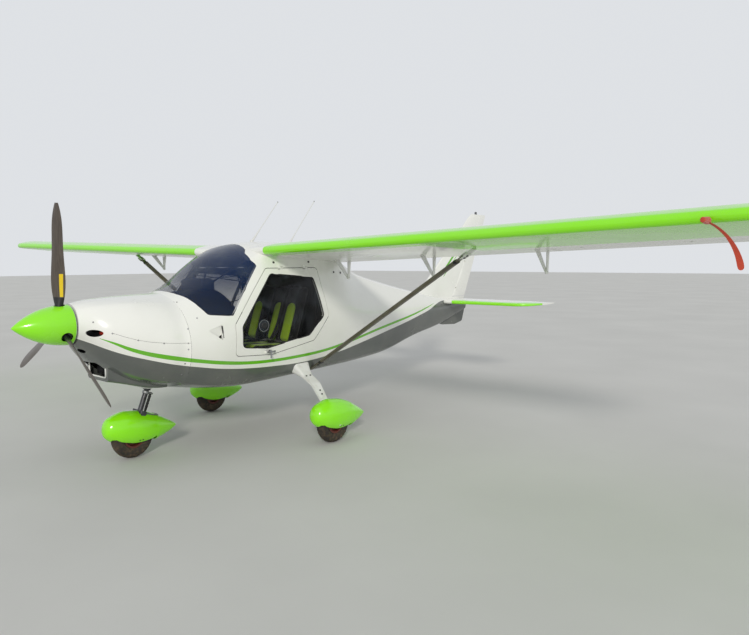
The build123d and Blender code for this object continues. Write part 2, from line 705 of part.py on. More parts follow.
# Tailplane and elevator
TAILPLANE_Z = 1045
TAILPLANE_ROWS = (
    # half span, leading edge station, trailing edge station, thickness
    (0, 5000, 5660, 66),
    (1050, 5010, 5660, 58),
    (1150, 5050, 5658, 48),
    (1215, 5120, 5652, 36),
    (1250, 5220, 5644, 24),
)
ELEVATOR_HINGE_STATION = 5415
ELEVATOR_NOSE_RADIUS = 25
ELEVATOR_INNER_X = 150
ELEVATOR_LUGS = (260, 700, 1120)
TORQUE_TUBE_RADIUS = 12
TUBE_HOLE_RADIUS = 18


def tailplane_plane(row):
    """Upright section plane of the tailplane, x aft, y up."""
    return Plane(origin=(row[0], at(row[1]), TAILPLANE_Z), x_dir=(0, 1, 0), z_dir=(1, 0, 0))


with BuildPart() as tailplane_half:
    loft(tail_sections(TAILPLANE_ROWS, tailplane_plane), ruled=True)


def elevator_region(grow):
    """Everything behind the elevator's rounded nose and outboard of the rudder."""
    inner = ELEVATOR_INNER_X - grow
    with BuildPart() as region:
        with BuildSketch(Plane.YZ.offset(inner)):
            with Locations((at(ELEVATOR_HINGE_STATION) + CUT_BACK, TAILPLANE_Z)):
                Rectangle(2 * CUT_BACK, CUT_DEPTH)
            with Locations((at(ELEVATOR_HINGE_STATION), TAILPLANE_Z)):
                Circle(ELEVATOR_NOSE_RADIUS + grow)
        extrude(amount=BEYOND)
    return region.part


def elevator_pin(x, length, radius):
    """A pin on the elevator's hinge line, centred on x."""
    with BuildPart() as pin:
        with BuildSketch(Plane.YZ.offset(x - length / 2)):
            with Locations((at(ELEVATOR_HINGE_STATION), TAILPLANE_Z)):
                Circle(radius)
        extrude(amount=length)
    return pin.part


def elevator_block(x, length, ahead, behind, half):
    """A block on the elevator's hinge line, reaching ahead of it and behind it."""
    with BuildPart() as block:
        with Locations((x, at(ELEVATOR_HINGE_STATION) + (behind - ahead) / 2, TAILPLANE_Z)):
            Box(length, ahead + behind, 2 * half)
    return block.part


with BuildPart() as elevator_half:
    add(tailplane_half.part)
    add(elevator_region(0), mode=Mode.INTERSECT)
    for lug in ELEVATOR_LUGS:
        add(elevator_block(lug, TAIL_SLOT, ELEVATOR_NOSE_RADIUS + TAIL_GAP, TAIL_LUG_HALF_HEIGHT + TAIL_GAP,
                           TAIL_SLOT_HALF_HEIGHT), mode=Mode.SUBTRACT)
        add(elevator_pin(lug, TAIL_PIN_LENGTH + 2 * FIT, TAIL_PIN_RADIUS + FIT), mode=Mode.SUBTRACT)

with BuildPart() as elevator:
    add(elevator_half.part)
    mirror(elevator_half.part, about=Plane.YZ)
    add(elevator_pin(0, 2 * ELEVATOR_INNER_X + 20, TORQUE_TUBE_RADIUS))
save(elevator.part, "elevator")

TUBE_HOLE = elevator_pin(0, 4 * ELEVATOR_INNER_X, TUBE_HOLE_RADIUS)
with BuildPart() as stabiliser_half:
    add(tailplane_half.part)
    add(elevator_region(TAIL_GAP), mode=Mode.SUBTRACT)
    with Locations((0, at(ELEVATOR_HINGE_STATION) + (BEYOND - 2 * TUBE_HOLE_RADIUS) / 2 - TAIL_GAP, TAILPLANE_Z)):
        Box(2 * ELEVATOR_INNER_X, BEYOND, CUT_DEPTH, mode=Mode.SUBTRACT)
    add(BODY, mode=Mode.SUBTRACT)
    for lug in ELEVATOR_LUGS:
        add(elevator_block(lug, TAIL_LUG_THICKNESS, ELEVATOR_NOSE_RADIUS + TAIL_LUG_ROOT, 0, TAIL_LUG_HALF_HEIGHT))
        add(elevator_pin(lug, TAIL_LUG_THICKNESS, TAIL_LUG_HALF_HEIGHT))
        add(elevator_pin(lug, TAIL_PIN_LENGTH, TAIL_PIN_RADIUS))

with BuildPart() as tailplane:
    add(stabiliser_half.part)
    mirror(stabiliser_half.part, about=Plane.YZ)
    add(fin.part, mode=Mode.SUBTRACT)
save(tailplane.part, "tailplane")

with BuildPart() as boom:
    add(tail_boom.part)
    add(TUBE_HOLE, mode=Mode.SUBTRACT)
save(boom.part, "tail_boom")

# Main gear: a bent spring leg each side, an axle, a wheel with its tyre, and a spat
WHEEL_RADIUS = 170
TYRE_WIDTH = 100
TYRE_BORE = 78
MAIN_STATION = 2203
MAIN_TRACK_HALF = 896
LEG_THICKNESS = 24
LEG_ROOT = (400, 640)
LEG_BOW = (690, 480)
LEG_KNEE = (806, 334)
LEG_DROP_X = 815
LEG_BEND = 100
# Half width of the spring leaf by height, seen from the side
LEG_TAPER = ((650, 56), (520, 48), (340, 35), (WHEEL_RADIUS - 20, 32))
AXLE_RADIUS = 12
RIM_WIDTH = 84
HUB_RADIUS = 26
HUB_LENGTH = 108


def leg_band(width):
    """The leg's bowed strip, seen from ahead: down and out from the cabin, then straight down."""
    with BuildSketch(Plane.XZ.offset(-at(MAIN_STATION))) as band:
        with BuildLine():
            FilletPolyline(LEG_ROOT, LEG_BOW, LEG_KNEE, (LEG_DROP_X, WHEEL_RADIUS), radius=LEG_BEND)
        trace(line_width=width)
    return band.sketch


# Fairing where the leg meets the cabin: a flare drawn square to the leg's upper run
LEG_FAIRING = (
    # distance down the leg, station, length fore and aft, depth, corner
    (60, 2226, 200, 116, 40),
    (150, 2212, 140, 62, 24),
    (215, MAIN_STATION, 104, 36, 14),
)


def leg_fairing():
    """The flared fairing round the top of the left leg."""
    way = Vector(LEG_BOW[0] - LEG_ROOT[0], 0, LEG_BOW[1] - LEG_ROOT[1]).normalized()
    sections = []
    for distance, station, length, depth, corner in LEG_FAIRING:
        middle = Vector(LEG_ROOT[0], at(station), LEG_ROOT[1]) + way * distance
        with BuildSketch(Plane(origin=middle, x_dir=(0, 1, 0), z_dir=way)) as section:
            RectangleRounded(length, depth, corner)
        sections.append(section.sketch)
    with BuildPart() as flare:
        loft(sections)
    return flare.part


LEG_SIDE = [(MAIN_STATION - half, z) for z, half in LEG_TAPER]
LEG_SIDE += [(MAIN_STATION + half, z) for z, half in reversed(LEG_TAPER)]
with BuildPart() as main_leg_left:
    extrude(leg_band(LEG_THICKNESS), amount=LEG_TAPER[0][1], both=True)
    add(side_cutter(LEG_SIDE, 0, 0, 2 * CUT_REACH), mode=Mode.INTERSECT)
    add(leg_fairing())
    add(BODY, mode=Mode.SUBTRACT)
    drop_scraps(main_leg_left)


def wheel_plane(x, station):
    """Upright plane square to an axle."""
    return Plane(origin=(x, at(station), WHEEL_RADIUS), x_dir=(0, 1, 0), z_dir=(1, 0, 0))


def tyre_ring(x, station):
    """Tyre with rounded shoulders, turned about its axle."""
    half = TYRE_WIDTH / 2
    with BuildPart() as ring:
        with BuildSketch(Plane(origin=(x, at(station), WHEEL_RADIUS), x_dir=(1, 0, 0), z_dir=(0, -1, 0))):
            with BuildLine():
                Polyline((-half * 0.62, TYRE_BORE), (half * 0.62, TYRE_BORE))
                ThreePointArc((half * 0.62, TYRE_BORE), (half, WHEEL_RADIUS * 0.76), (half * 0.66, WHEEL_RADIUS - 12))
                ThreePointArc((half * 0.66, WHEEL_RADIUS - 12), (0, WHEEL_RADIUS), (-half * 0.66, WHEEL_RADIUS - 12))
                ThreePointArc((-half * 0.66, WHEEL_RADIUS - 12), (-half, WHEEL_RADIUS * 0.76), (-half * 0.62, TYRE_BORE))
            make_face()
        revolve(axis=Axis((x, at(station), WHEEL_RADIUS), (1, 0, 0)))
    return ring.part


def rim_disc(x, station):
    """Wheel with a barrel that carries the tyre, a dished web and a bored hub."""
    half = RIM_WIDTH / 2
    hub = HUB_LENGTH / 2
    bore = AXLE_RADIUS + FIT
    with BuildPart() as rim:
        with BuildSketch(Plane(origin=(x, at(station), WHEEL_RADIUS), x_dir=(1, 0, 0), z_dir=(0, -1, 0))):
            with BuildLine():
                Polyline((-hub, bore), (hub, bore), (hub, HUB_RADIUS), (8, HUB_RADIUS + 6), (8, TYRE_BORE - 12),
                         (half, TYRE_BORE - 6), (half, TYRE_BORE + 8), (half - 6, TYRE_BORE + 8),
                         (half - 9, TYRE_BORE), (-half + 9, TYRE_BORE), (-half + 6, TYRE_BORE + 8),
                         (-half, TYRE_BORE + 8), (-half, TYRE_BORE - 6), (-8, TYRE_BORE - 12),
                         (-8, HUB_RADIUS + 6), (-hub, HUB_RADIUS), close=True)
            make_face()
        revolve(axis=Axis((x, at(station), WHEEL_RADIUS), (1, 0, 0)))
    return rim.part


def wheel_parts(x, station, name, both_sides):
    """Save a rim and the tyre seated on it."""
    rim = rim_disc(x, station)
    with BuildPart() as tyre:
        add(tyre_ring(x, station))
        add(rim, mode=Mode.SUBTRACT)
    if both_sides:
        left_and_right(rim, name + "_rim")
        left_and_right(tyre.part, name + "_tyre")
    else:
        save(rim, name + "_rim")
        save(tyre.part, name + "_tyre")


wheel_parts(MAIN_TRACK_HALF, MAIN_STATION, "main", True)

AXLE_INNER_X = LEG_DROP_X
AXLE_OUTER_X = 990
with BuildPart() as main_gear_left:
    add(main_leg_left.part)
    with BuildSketch(wheel_plane(AXLE_INNER_X, MAIN_STATION)):
        Circle(AXLE_RADIUS)
    extrude(amount=AXLE_OUTER_X - AXLE_INNER_X)
pair(main_gear_left.part, "main_legs")

# Spats: thin teardrop shells, open below where the tyre comes through
SPAT_ROWS = (
    # distance behind the nose, half width, top z, bottom z
    (0, 12, 264, 240),
    (6, 38, 292, 210),
    (22, 62, 328, 188),
    (62, 86, 358, 156),
    (125, 104, 378, 126),
    (205, 112, 383, 106),
    (310, 107, 368, 100),
    (420, 86, 328, 112),
    (530, 50, 266, 144),
    (600, 20, 222, 174),
    (622, 8, 206, 188),
)
SPAT_WALL = 5
SPAT_SOLID_TAIL = 9
SPAT_OPENING_X = 136
SPAT_OPENING_Y = 372
SPAT_OPENING_TOP = 185
SPAT_AHEAD = 233


def spat_form(x, nose_station, rows, inset):
    """Teardrop body of a spat through its rows, drawn inset from its skin."""
    sections = []
    for distance, half, top, low in rows:
        middle = Vector(x, at(nose_station + distance), (top + low) / 2)
        with BuildSketch(Plane(origin=middle, x_dir=(1, 0, 0), z_dir=(0, -1, 0))) as ring:
            Ellipse(half - inset, (top - low) / 2 - inset)
        sections.append(ring.sketch)
    with BuildPart() as form:
        loft(sections)
    return form.part


def spat_shell(x, wheel_station):
    """Hollow spat with the opening for its tyre and a solid nose and tail."""
    nose = wheel_station - SPAT_AHEAD
    with BuildPart() as shell:
        add(spat_form(x, nose, SPAT_ROWS, 0))
        add(spat_form(x, nose, SPAT_ROWS[1:SPAT_SOLID_TAIL], SPAT_WALL), mode=Mode.SUBTRACT)
        with Locations((x, at(wheel_station), SPAT_OPENING_TOP / 2)):
            Box(SPAT_OPENING_X, SPAT_OPENING_Y, SPAT_OPENING_TOP, mode=Mode.SUBTRACT)
    return shell.part


with BuildPart() as main_spat_left:
    add(spat_shell(MAIN_TRACK_HALF, MAIN_STATION))
    add(main_gear_left.part, mode=Mode.SUBTRACT)
    drop_scraps(main_spat_left)
pair(main_spat_left.part, "main_spats")

# Nose gear: a leaning steerer in a fixed housing, a fork, a wheel and a spat that steers with it
NOSE_WHEEL_STATION = 839
STEER_LEAN = 21.9
STEER_AXIS = Vector(0, deg_sin(STEER_LEAN), deg_cos(STEER_LEAN))
STEERER_RADIUS = 20
HOUSING_RADIUS = 30
HOUSING_FROM = 385
HOUSING_TO = 535
STEERER_TO = 528
CROWN_FROM = 190
CROWN_TO = 216
FORK_INNER_X = 61
FORK_THICKNESS = 10
FORK_WIDTH = 40
FORK_DEPTH = 56
HOUSING_BRACKET_X = 74
HOUSING_BRACKET_LOW = 570
HOUSING_BRACKET_TOP = 690
FIREWALL_FRONT = 1092
FIREWALL_THICKNESS = 6


def steer_plane(distance):
    """Plane square to the steering axis at a distance up from the wheel's centre, x sideways."""
    foot = Vector(0, at(NOSE_WHEEL_STATION), WHEEL_RADIUS)
    return Plane(origin=foot + STEER_AXIS * distance, x_dir=(1, 0, 0), z_dir=STEER_AXIS)


with BuildPart() as nose_leg:
    with BuildSketch(steer_plane(HOUSING_FROM)):
        Circle(HOUSING_RADIUS)
    extrude(amount=HOUSING_TO - HOUSING_FROM)
    bracket_front = NOSE_WHEEL_STATION + HOUSING_FROM * deg_sin(STEER_LEAN) + HOUSING_RADIUS
    bracket_length = FIREWALL_FRONT - bracket_front
    with Locations((0, at(bracket_front + bracket_length / 2), (HOUSING_BRACKET_LOW + HOUSING_BRACKET_TOP) / 2)):
        Box(HOUSING_BRACKET_X, bracket_length, HOUSING_BRACKET_TOP - HOUSING_BRACKET_LOW)
    with BuildSketch(steer_plane(HOUSING_FROM)):
        Circle(STEERER_RADIUS + FIT)
    extrude(amount=2 * (HOUSING_TO - HOUSING_FROM), mode=Mode.SUBTRACT)
save(nose_leg.part, "nose_leg")

with BuildPart() as nose_fork:
    with BuildSketch(steer_plane(CROWN_FROM)):
        RectangleRounded(2 * (FORK_INNER_X + FORK_THICKNESS), FORK_DEPTH, 12)
    extrude(amount=CROWN_TO - CROWN_FROM)
    with BuildSketch(steer_plane(CROWN_FROM)):
        Circle(STEERER_RADIUS)
    extrude(amount=STEERER_TO - CROWN_FROM)
    for side in (-1, 1):
        fork_x = side * (FORK_INNER_X + FORK_THICKNESS / 2)
        with BuildSketch(Plane.YZ.offset(fork_x - FORK_THICKNESS / 2)):
            with Locations(Location((at(NOSE_WHEEL_STATION), WHEEL_RADIUS), -STEER_LEAN)):
                with Locations((0, CROWN_TO / 2)):
                    Rectangle(FORK_WIDTH, CROWN_TO)
                Circle(FORK_WIDTH / 2)
        extrude(amount=FORK_THICKNESS)
    with BuildSketch(wheel_plane(-FORK_INNER_X, NOSE_WHEEL_STATION)):
        Circle(AXLE_RADIUS)
    extrude(amount=2 * FORK_INNER_X)
save(nose_fork.part, "nose_fork")

wheel_parts(0, NOSE_WHEEL_STATION, "nose", False)

with BuildPart() as nose_spat:
    add(spat_shell(0, NOSE_WHEEL_STATION))
    add(nose_fork.part, mode=Mode.SUBTRACT)
    drop_scraps(nose_spat)
save(nose_spat.part, "nose_spat")

# Engine cowl: a thin shell in an upper and a lower half, round at the spinner
PROP_AXIS_Z = 1100
COWL_NOSE_STATION = 400
COWL_REAR_STATION = 1090
COWL_SPLIT_Z = 1010
COWL_FRAMES = (
    (400, 152, 1100, 1252, 948, 116, 1210, 116, 990, 45, 45),
    (520, 285, 1060, 1274, 800, 186, 1236, 190, 846, 80, 80),
    (760, 412, 990, 1292, 634, 268, 1250, 280, 692, 100, 110),
    FRAMES[0],
)
SHAFT_HOLE_RADIUS = 40
INTAKE_X = 232
INTAKE_Z = 1045
INTAKE_LENGTH = 50
INTAKE_HEIGHT = 26
INTAKE_REACH = 190
# One small inlet below the spinner, on the left
INLET_X = 75
INLET_Z = 907
INLET_HALF_LENGTH = 45
INLET_HALF_HEIGHT = 16
INLET_REACH = 110
OUTLET_HALF_WIDTH = 120
OUTLET_STATION = 905
OUTLET_TOP = 620
# Chin scoop: a duct below the cowl with a wide mouth, fading into the belly behind
SCOOP_ROWS = (
    # station, half width, bottom z, top z
    (590, 165, 662, 830),
    (700, 180, 634, 830),
    (800, 190, 605, 820),
    (920, 194, 574, 780),
    (1060, 190, 558, 740),
)
SCOOP_CORNER = 28
MOUTH_HALF_WIDTH = 126
MOUTH_LOW = 698
MOUTH_TOP = 814
MOUTH_CORNER = 20
MOUTH_REACH = 240

COWL_FORM = hull(COWL_FRAMES)
COWL_SPACE = hull(COWL_FRAMES, COWL_WALL)
AHEAD_OF_COWL = Plane.XZ.offset(-at(COWL_NOSE_STATION - INTAKE_HEIGHT))
with BuildPart() as cowl_cuts:
    with BuildSketch(AHEAD_OF_COWL):
        with Locations((0, (MOUTH_LOW + MOUTH_TOP) / 2)):
            RectangleRounded(2 * MOUTH_HALF_WIDTH, MOUTH_TOP - MOUTH_LOW, MOUTH_CORNER)
    extrude(amount=-MOUTH_REACH)
    with BuildSketch(AHEAD_OF_COWL):
        with Locations((INTAKE_X, INTAKE_Z), (-INTAKE_X, INTAKE_Z)):
            Ellipse(INTAKE_LENGTH, INTAKE_HEIGHT)
    extrude(amount=-INTAKE_REACH)
    with BuildSketch(AHEAD_OF_COWL):
        with Locations((INLET_X, INLET_Z)):
            Ellipse(INLET_HALF_LENGTH, INLET_HALF_HEIGHT)
    extrude(amount=-INLET_REACH)
    with BuildSketch(AHEAD_OF_COWL):
        with Locations((0, PROP_AXIS_Z)):
            Circle(SHAFT_HOLE_RADIUS)
    extrude(amount=-2 * SHAFT_HOLE_RADIUS)
    with Locations((0, at(OUTLET_STATION) + BEYOND / 2, OUTLET_TOP - BEYOND / 2)):
        Box(2 * OUTLET_HALF_WIDTH, BEYOND, BEYOND)


def scoop_form(inset):
    """The scoop's duct, drawn inset from its skin."""
    sections = []
    for station, half, low, top in SCOOP_ROWS:
        with BuildSketch(Plane.XZ.offset(-at(station))) as ring:
            with Locations((0, (low + top) / 2)):
                RectangleRounded(2 * (half - inset), top - low - 2 * inset, SCOOP_CORNER - inset)
        sections.append(ring.sketch)
    with BuildPart() as duct:
        loft(sections)
        if inset:
            with Locations((0, at(SCOOP_ROWS[0][0] + inset) - BEYOND / 2, PROP_AXIS_Z)):
                Box(BEYOND, BEYOND, BEYOND, mode=Mode.SUBTRACT)
    return duct.part


def cowl_half(low, high, duct=None, duct_space=None):
    """One half of the cowl between two heights, with the scoop's duct if it has one."""
    with BuildPart() as space:
        add(COWL_SPACE)
        with Locations((0, at(COWL_NOSE_STATION + COWL_WALL) - BEYOND / 2, PROP_AXIS_Z)):
            Box(BEYOND, BEYOND, BEYOND, mode=Mode.SUBTRACT)
    with BuildPart() as half:
        add(COWL_FORM)
        with Locations((0, at(COWL_REAR_STATION) - BEYOND / 2, (low + high) / 2)):
            Box(BEYOND, BEYOND, high - low, mode=Mode.INTERSECT)
        if duct:
            add(duct)
        add(space.part, mode=Mode.SUBTRACT)
        if duct_space:
            add(duct_space, mode=Mode.SUBTRACT)
        add(cowl_cuts.part, mode=Mode.SUBTRACT)
        drop_scraps(half)
    return half.part


COWL_UPPER = cowl_half(COWL_SPLIT_Z, 1500)
COWL_LOWER = cowl_half(300, COWL_SPLIT_Z, scoop_form(0), scoop_form(COWL_WALL))
save(COWL_UPPER, "cowl_upper")
save(COWL_LOWER, "cowl_lower")


def cross_slab(station, thickness):
    """A slab of the cabin's inside, square to its length."""
    with BuildPart() as slab:
        add(CABIN_SPACE)
        with Locations((0, at(station + thickness / 2), 0)):
            Box(BEYOND, thickness, 2 * BEYOND, mode=Mode.INTERSECT)
    return slab.part


save(cross_slab(FIREWALL_FRONT, FIREWALL_THICKNESS), "firewall")

# Engine: one block with its gearbox nose and four mounts on the firewall
ENGINE_FRONT = 545
ENGINE_REAR = 1030
ENGINE_WIDTH = 340
ENGINE_LOW = 880
ENGINE_TOP = 1170
GEARBOX_RADIUS = 60
GEARBOX_FRONT = 440
MOUNT_RADIUS = 14
MOUNT_X = 130
MOUNT_Z = (925, 1125)

with BuildPart() as engine_block:
    with Locations((0, at((ENGINE_FRONT + ENGINE_REAR) / 2), (ENGINE_LOW + ENGINE_TOP) / 2)):
        Box(ENGINE_WIDTH, ENGINE_REAR - ENGINE_FRONT, ENGINE_TOP - ENGINE_LOW)
    fillet(engine_block.edges().filter_by(Axis.Y), 25)
    with BuildSketch(Plane.XZ.offset(-at(GEARBOX_FRONT))):
        with Locations((0, PROP_AXIS_Z)):
            Circle(GEARBOX_RADIUS)
    extrude(amount=-(ENGINE_FRONT - GEARBOX_FRONT))
    with BuildSketch(Plane.XZ.offset(-at(ENGINE_REAR))):
        with Locations([(x, z) for x in (-MOUNT_X, MOUNT_X) for z in MOUNT_Z]):
            Circle(MOUNT_RADIUS)
    extrude(amount=-(FIREWALL_FRONT - ENGINE_REAR))
save(engine_block.part, "engine_block")

# Spinner and propeller: three twisted blades on a hub, with a pointed spinner over it
SPINNER_RADIUS = 148
SPINNER_BASE = 390
SPINNER_WALL = 3
BACKPLATE_THICKNESS = 4
PROP_STATION = 328
PROP_RADIUS = 870
PROP_BLADES = 3
PROP_PARKED = 4.35
HUB_DISC_RADIUS = 55
HUB_FRONT = 290
SHAFT_RADIUS = 22
BLADE_HOLE_RADIUS = 40
BLADE_ROWS = (
    # radius, chord, thickness, pitch angle
    (54, 50, 48, 46),
    (120, 54, 44, 44),
    (215, 92, 22, 37),
    (420, 114, 14, 27),
    (650, 102, 10, 21),
    (800, 78, 8, 18),
    (PROP_RADIUS, 34, 5, 17),
)
PROP_AXIS = Axis((0, 0, PROP_AXIS_Z), (0, 1, 0))


def blade_section(row):
    """Lens-shaped blade section, square to the blade."""
    radius, chord, thickness, pitch = row
    way = Vector(deg_sin(PROP_PARKED), 0, deg_cos(PROP_PARKED))
    across = Vector(-deg_cos(PROP_PARKED), 0, deg_sin(PROP_PARKED))
    chord_way = across * deg_cos(pitch) + Vector(0, -1, 0) * deg_sin(pitch)
    centre = Vector(0, at(PROP_STATION), PROP_AXIS_Z) + way * radius
    with BuildSketch(Plane(origin=centre, x_dir=chord_way, z_dir=way)) as section:
        with BuildLine():
            ThreePointArc((-chord / 2, 0), (0, thickness * 0.6), (chord / 2, 0))
            ThreePointArc((chord / 2, 0), (0, -thickness * 0.4), (-chord / 2, 0))
        make_face()
    return section.sketch


with BuildPart() as prop_hub:
    with BuildSketch(Plane.XZ.offset(-at(HUB_FRONT))):
        with Locations((0, PROP_AXIS_Z)):
            Circle(HUB_DISC_RADIUS)
    extrude(amount=-(SPINNER_BASE - HUB_FRONT))
    with BuildSketch(Plane.XZ.offset(-at(SPINNER_BASE - BACKPLATE_THICKNESS))):
        with Locations((0, PROP_AXIS_Z)):
            Circle(SPINNER_RADIUS)
    extrude(amount=-BACKPLATE_THICKNESS)
    with BuildSketch(Plane.XZ.offset(-at(SPINNER_BASE))):
        with Locations((0, PROP_AXIS_Z)):
            Circle(SHAFT_RADIUS)
    extrude(amount=-(GEARBOX_FRONT - FIT - SPINNER_BASE))
save(prop_hub.part, "prop_hub")

with BuildPart() as blade_form:
    loft([blade_section(row) for row in BLADE_ROWS])
with BuildPart() as blade:
    add(blade_form.part)
    add(prop_hub.part, mode=Mode.SUBTRACT)
with BuildPart() as prop_blades:
    for number in range(PROP_BLADES):
        add(blade.part.rotate(PROP_AXIS, number * 360 / PROP_BLADES))
save(prop_blades.part, "prop_blades")


def spinner_profile(inset):
    """Half outline of the spinner, drawn inset from its skin."""
    length = SPINNER_BASE - BACKPLATE_THICKNESS
    with BuildSketch(Plane.YZ) as profile:
        with BuildLine():
            nose = (at(3.5 * inset), PROP_AXIS_Z)
            shoulder = (at(0.45 * length), PROP_AXIS_Z + 0.745 * SPINNER_RADIUS - inset)
            base = (at(length), PROP_AXIS_Z + SPINNER_RADIUS - inset)
            ThreePointArc(nose, shoulder, base)
            Polyline(base, (at(length), PROP_AXIS_Z), nose)
        make_face()
    return profile.sketch


with BuildPart() as spinner:
    revolve(spinner_profile(0), axis=PROP_AXIS)
    revolve(spinner_profile(SPINNER_WALL), axis=PROP_AXIS, mode=Mode.SUBTRACT)
    for number in range(PROP_BLADES):
        angle = PROP_PARKED + number * 360 / PROP_BLADES
        way = Vector(deg_sin(angle), 0, deg_cos(angle))
        with BuildSketch(Plane(origin=(0, at(PROP_STATION), PROP_AXIS_Z), x_dir=(0, 1, 0), z_dir=way)):
            Circle(BLADE_HOLE_RADIUS)
        extrude(amount=2 * SPINNER_RADIUS, mode=Mode.SUBTRACT)
save(spinner.part, "spinner")

# Cabin inside: floor, bulkhead, dash and seats
CABIN_FLOOR_REAR = 2560
BULKHEAD_STATION = 2560
BULKHEAD_THICKNESS = 10
SEAT_BASE_STATIONS = (1760, 2330)
SEAT_BASE_TOP = 745
SEAT_BASE_HALF_WIDTH = 435
SEAT_X = 235
SEAT_WIDTH = 410
SEAT_SIDE = ((1745, 745), (1745, 835), (2150, 815), (2330, 1345), (2420, 1320), (2262, 745))
SEAT_CORNER = 28
DASH_FRONT = 1535
DASH_THICKNESS = 12
DASH_LOW = 985
GLARE_ROWS = (
    # station, half width, crown z, edge z
    (FIREWALL_FRONT + FIREWALL_THICKNESS, 560, 1262, 1010),
    (1300, 560, 1310, 1054),
    (1400, 548, 1320, 1064),
    (1470, 512, 1328, 1100),
    (1560, 500, 1335, 1110),
)
GLARE_THICKNESS = 14
POD_STATIONS = (1430, 1556)
POD_HALF_WIDTH = 150
POD_TOP = 1412
POD_CORNER = 30
STICK_STATION = 1640
STICK_TOP = 1010
STICK_RADIUS = 11
STICK_GRIP_RADIUS = 17
STICK_GRIP_LENGTH = 120

with BuildPart() as cabin_floor:
    add(CABIN_SPACE)
    floor_front = FIREWALL_FRONT + FIREWALL_THICKNESS
    with Locations((0, at((floor_front + CABIN_FLOOR_REAR) / 2), FLOOR_Z + FLOOR_THICKNESS / 2)):
        Box(BEYOND, CABIN_FLOOR_REAR - floor_front, FLOOR_THICKNESS, mode=Mode.INTERSECT)
save(cabin_floor.part, "cabin_floor")

save(cross_slab(BULKHEAD_STATION, BULKHEAD_THICKNESS), "rear_bulkhead")

with BuildPart() as seat_base:
    base_low = FLOOR_Z + FLOOR_THICKNESS
    with Locations((0, at(sum(SEAT_BASE_STATIONS) / 2), (base_low + SEAT_BASE_TOP) / 2)):
        Box(2 * SEAT_BASE_HALF_WIDTH, SEAT_BASE_STATIONS[1] - SEAT_BASE_STATIONS[0], SEAT_BASE_TOP - base_low)
save(seat_base.part, "seat_base")

with BuildPart() as seat_left:
    with BuildSketch(Plane.YZ.offset(SEAT_X - SEAT_WIDTH / 2)) as seat_outline:
        with BuildLine():
            Polyline([(at(station), z) for station, z in SEAT_SIDE], close=True)
        make_face()
        fillet(seat_outline.vertices().sort_by(Axis.Y)[2:], SEAT_CORNER)
    extrude(amount=SEAT_WIDTH)
pair(seat_left.part, "seats")


def under_glareshield(drop):
    """Everything below the arched top of the dash, lowered by a thickness."""
    sections = []
    for station, half, crown, edge in GLARE_ROWS:
        with BuildSketch(Plane.XZ.offset(-at(station))) as arch:
            with BuildLine():
                ThreePointArc((-half, edge - drop), (0, crown - drop), (half, edge - drop))
                Polyline((half, edge - drop), (half, DASH_LOW), (-half, DASH_LOW), (-half, edge - drop))
            make_face()
        sections.append(arch.sketch)
    with BuildPart() as form:
        loft(sections)
    return form.part


GLARE_FORM = under_glareshield(0)
with BuildPart() as dash:
    add(GLARE_FORM)
    with Locations((0, at(DASH_FRONT + DASH_THICKNESS / 2), DASH_LOW + BEYOND / 2)):
        Box(BEYOND, DASH_THICKNESS, BEYOND, mode=Mode.INTERSECT)

with BuildPart() as instrument_panel:
    with Locations((0, at(sum(POD_STATIONS) / 2), (GLARE_ROWS[0][2] + POD_TOP) / 2)):
        Box(2 * POD_HALF_WIDTH, POD_STATIONS[1] - POD_STATIONS[0], POD_TOP - GLARE_ROWS[0][2])
    fillet(instrument_panel.faces().sort_by(Axis.Z)[-1].edges(), POD_CORNER)
    add(GLARE_FORM)
    add(under_glareshield(GLARE_THICKNESS), mode=Mode.SUBTRACT)
    add(dash.part)
    add(CABIN_SPACE, mode=Mode.INTERSECT)
    drop_scraps(instrument_panel)
save(instrument_panel.part, "instrument_panel")

with BuildPart() as control_sticks:
    with BuildSketch(Plane.XY.offset(FLOOR_Z + FLOOR_THICKNESS)):
        with Locations((SEAT_X, at(STICK_STATION)), (-SEAT_X, at(STICK_STATION))):
            Circle(STICK_RADIUS)
    extrude(amount=STICK_TOP - FLOOR_Z - FLOOR_THICKNESS)
    with BuildSketch(Plane.XY.offset(STICK_TOP - STICK_GRIP_LENGTH)):
        with Locations((SEAT_X, at(STICK_STATION)), (-SEAT_X, at(STICK_STATION))):
            Circle(STICK_GRIP_RADIUS)
    extrude(amount=STICK_GRIP_LENGTH)
save(control_sticks.part, "control_sticks")

# Aerials, beacon and pitot
AERIALS = (
    # station of the foot, station of the tip, height of the tip
    (2080, 2400, 2112),
    (2514, 2870, 2150),
)
AERIAL_FOOT_RADIUS = 16
AERIAL_FOOT_HEIGHT = 14
AERIAL_RADIUS = 4
BEACON_STATION = 5822
BEACON_RADIUS = 15
BEACON_CORNER = 10
BEACON_HEIGHT = 34
PITOT_X = 3900
PITOT_RADIUS = 7
PITOT_LENGTH = 90
PITOT_BACK = 30
PITOT_DROP = 18
COVER_RADIUS = 14
COVER_WALL = 3
COVER_LENGTH = 78
STREAMER_WIDTH = 30
STREAMER_THICKNESS = 3
STREAMER_LENGTH = 230


def roof_z(station):
    """Height of the fuselage's top on its centre line."""
    ray = Edge.make_line((0, at(station), 900), (0, at(station), 2400))
    return (ray & BODY).bounding_box().max.Z


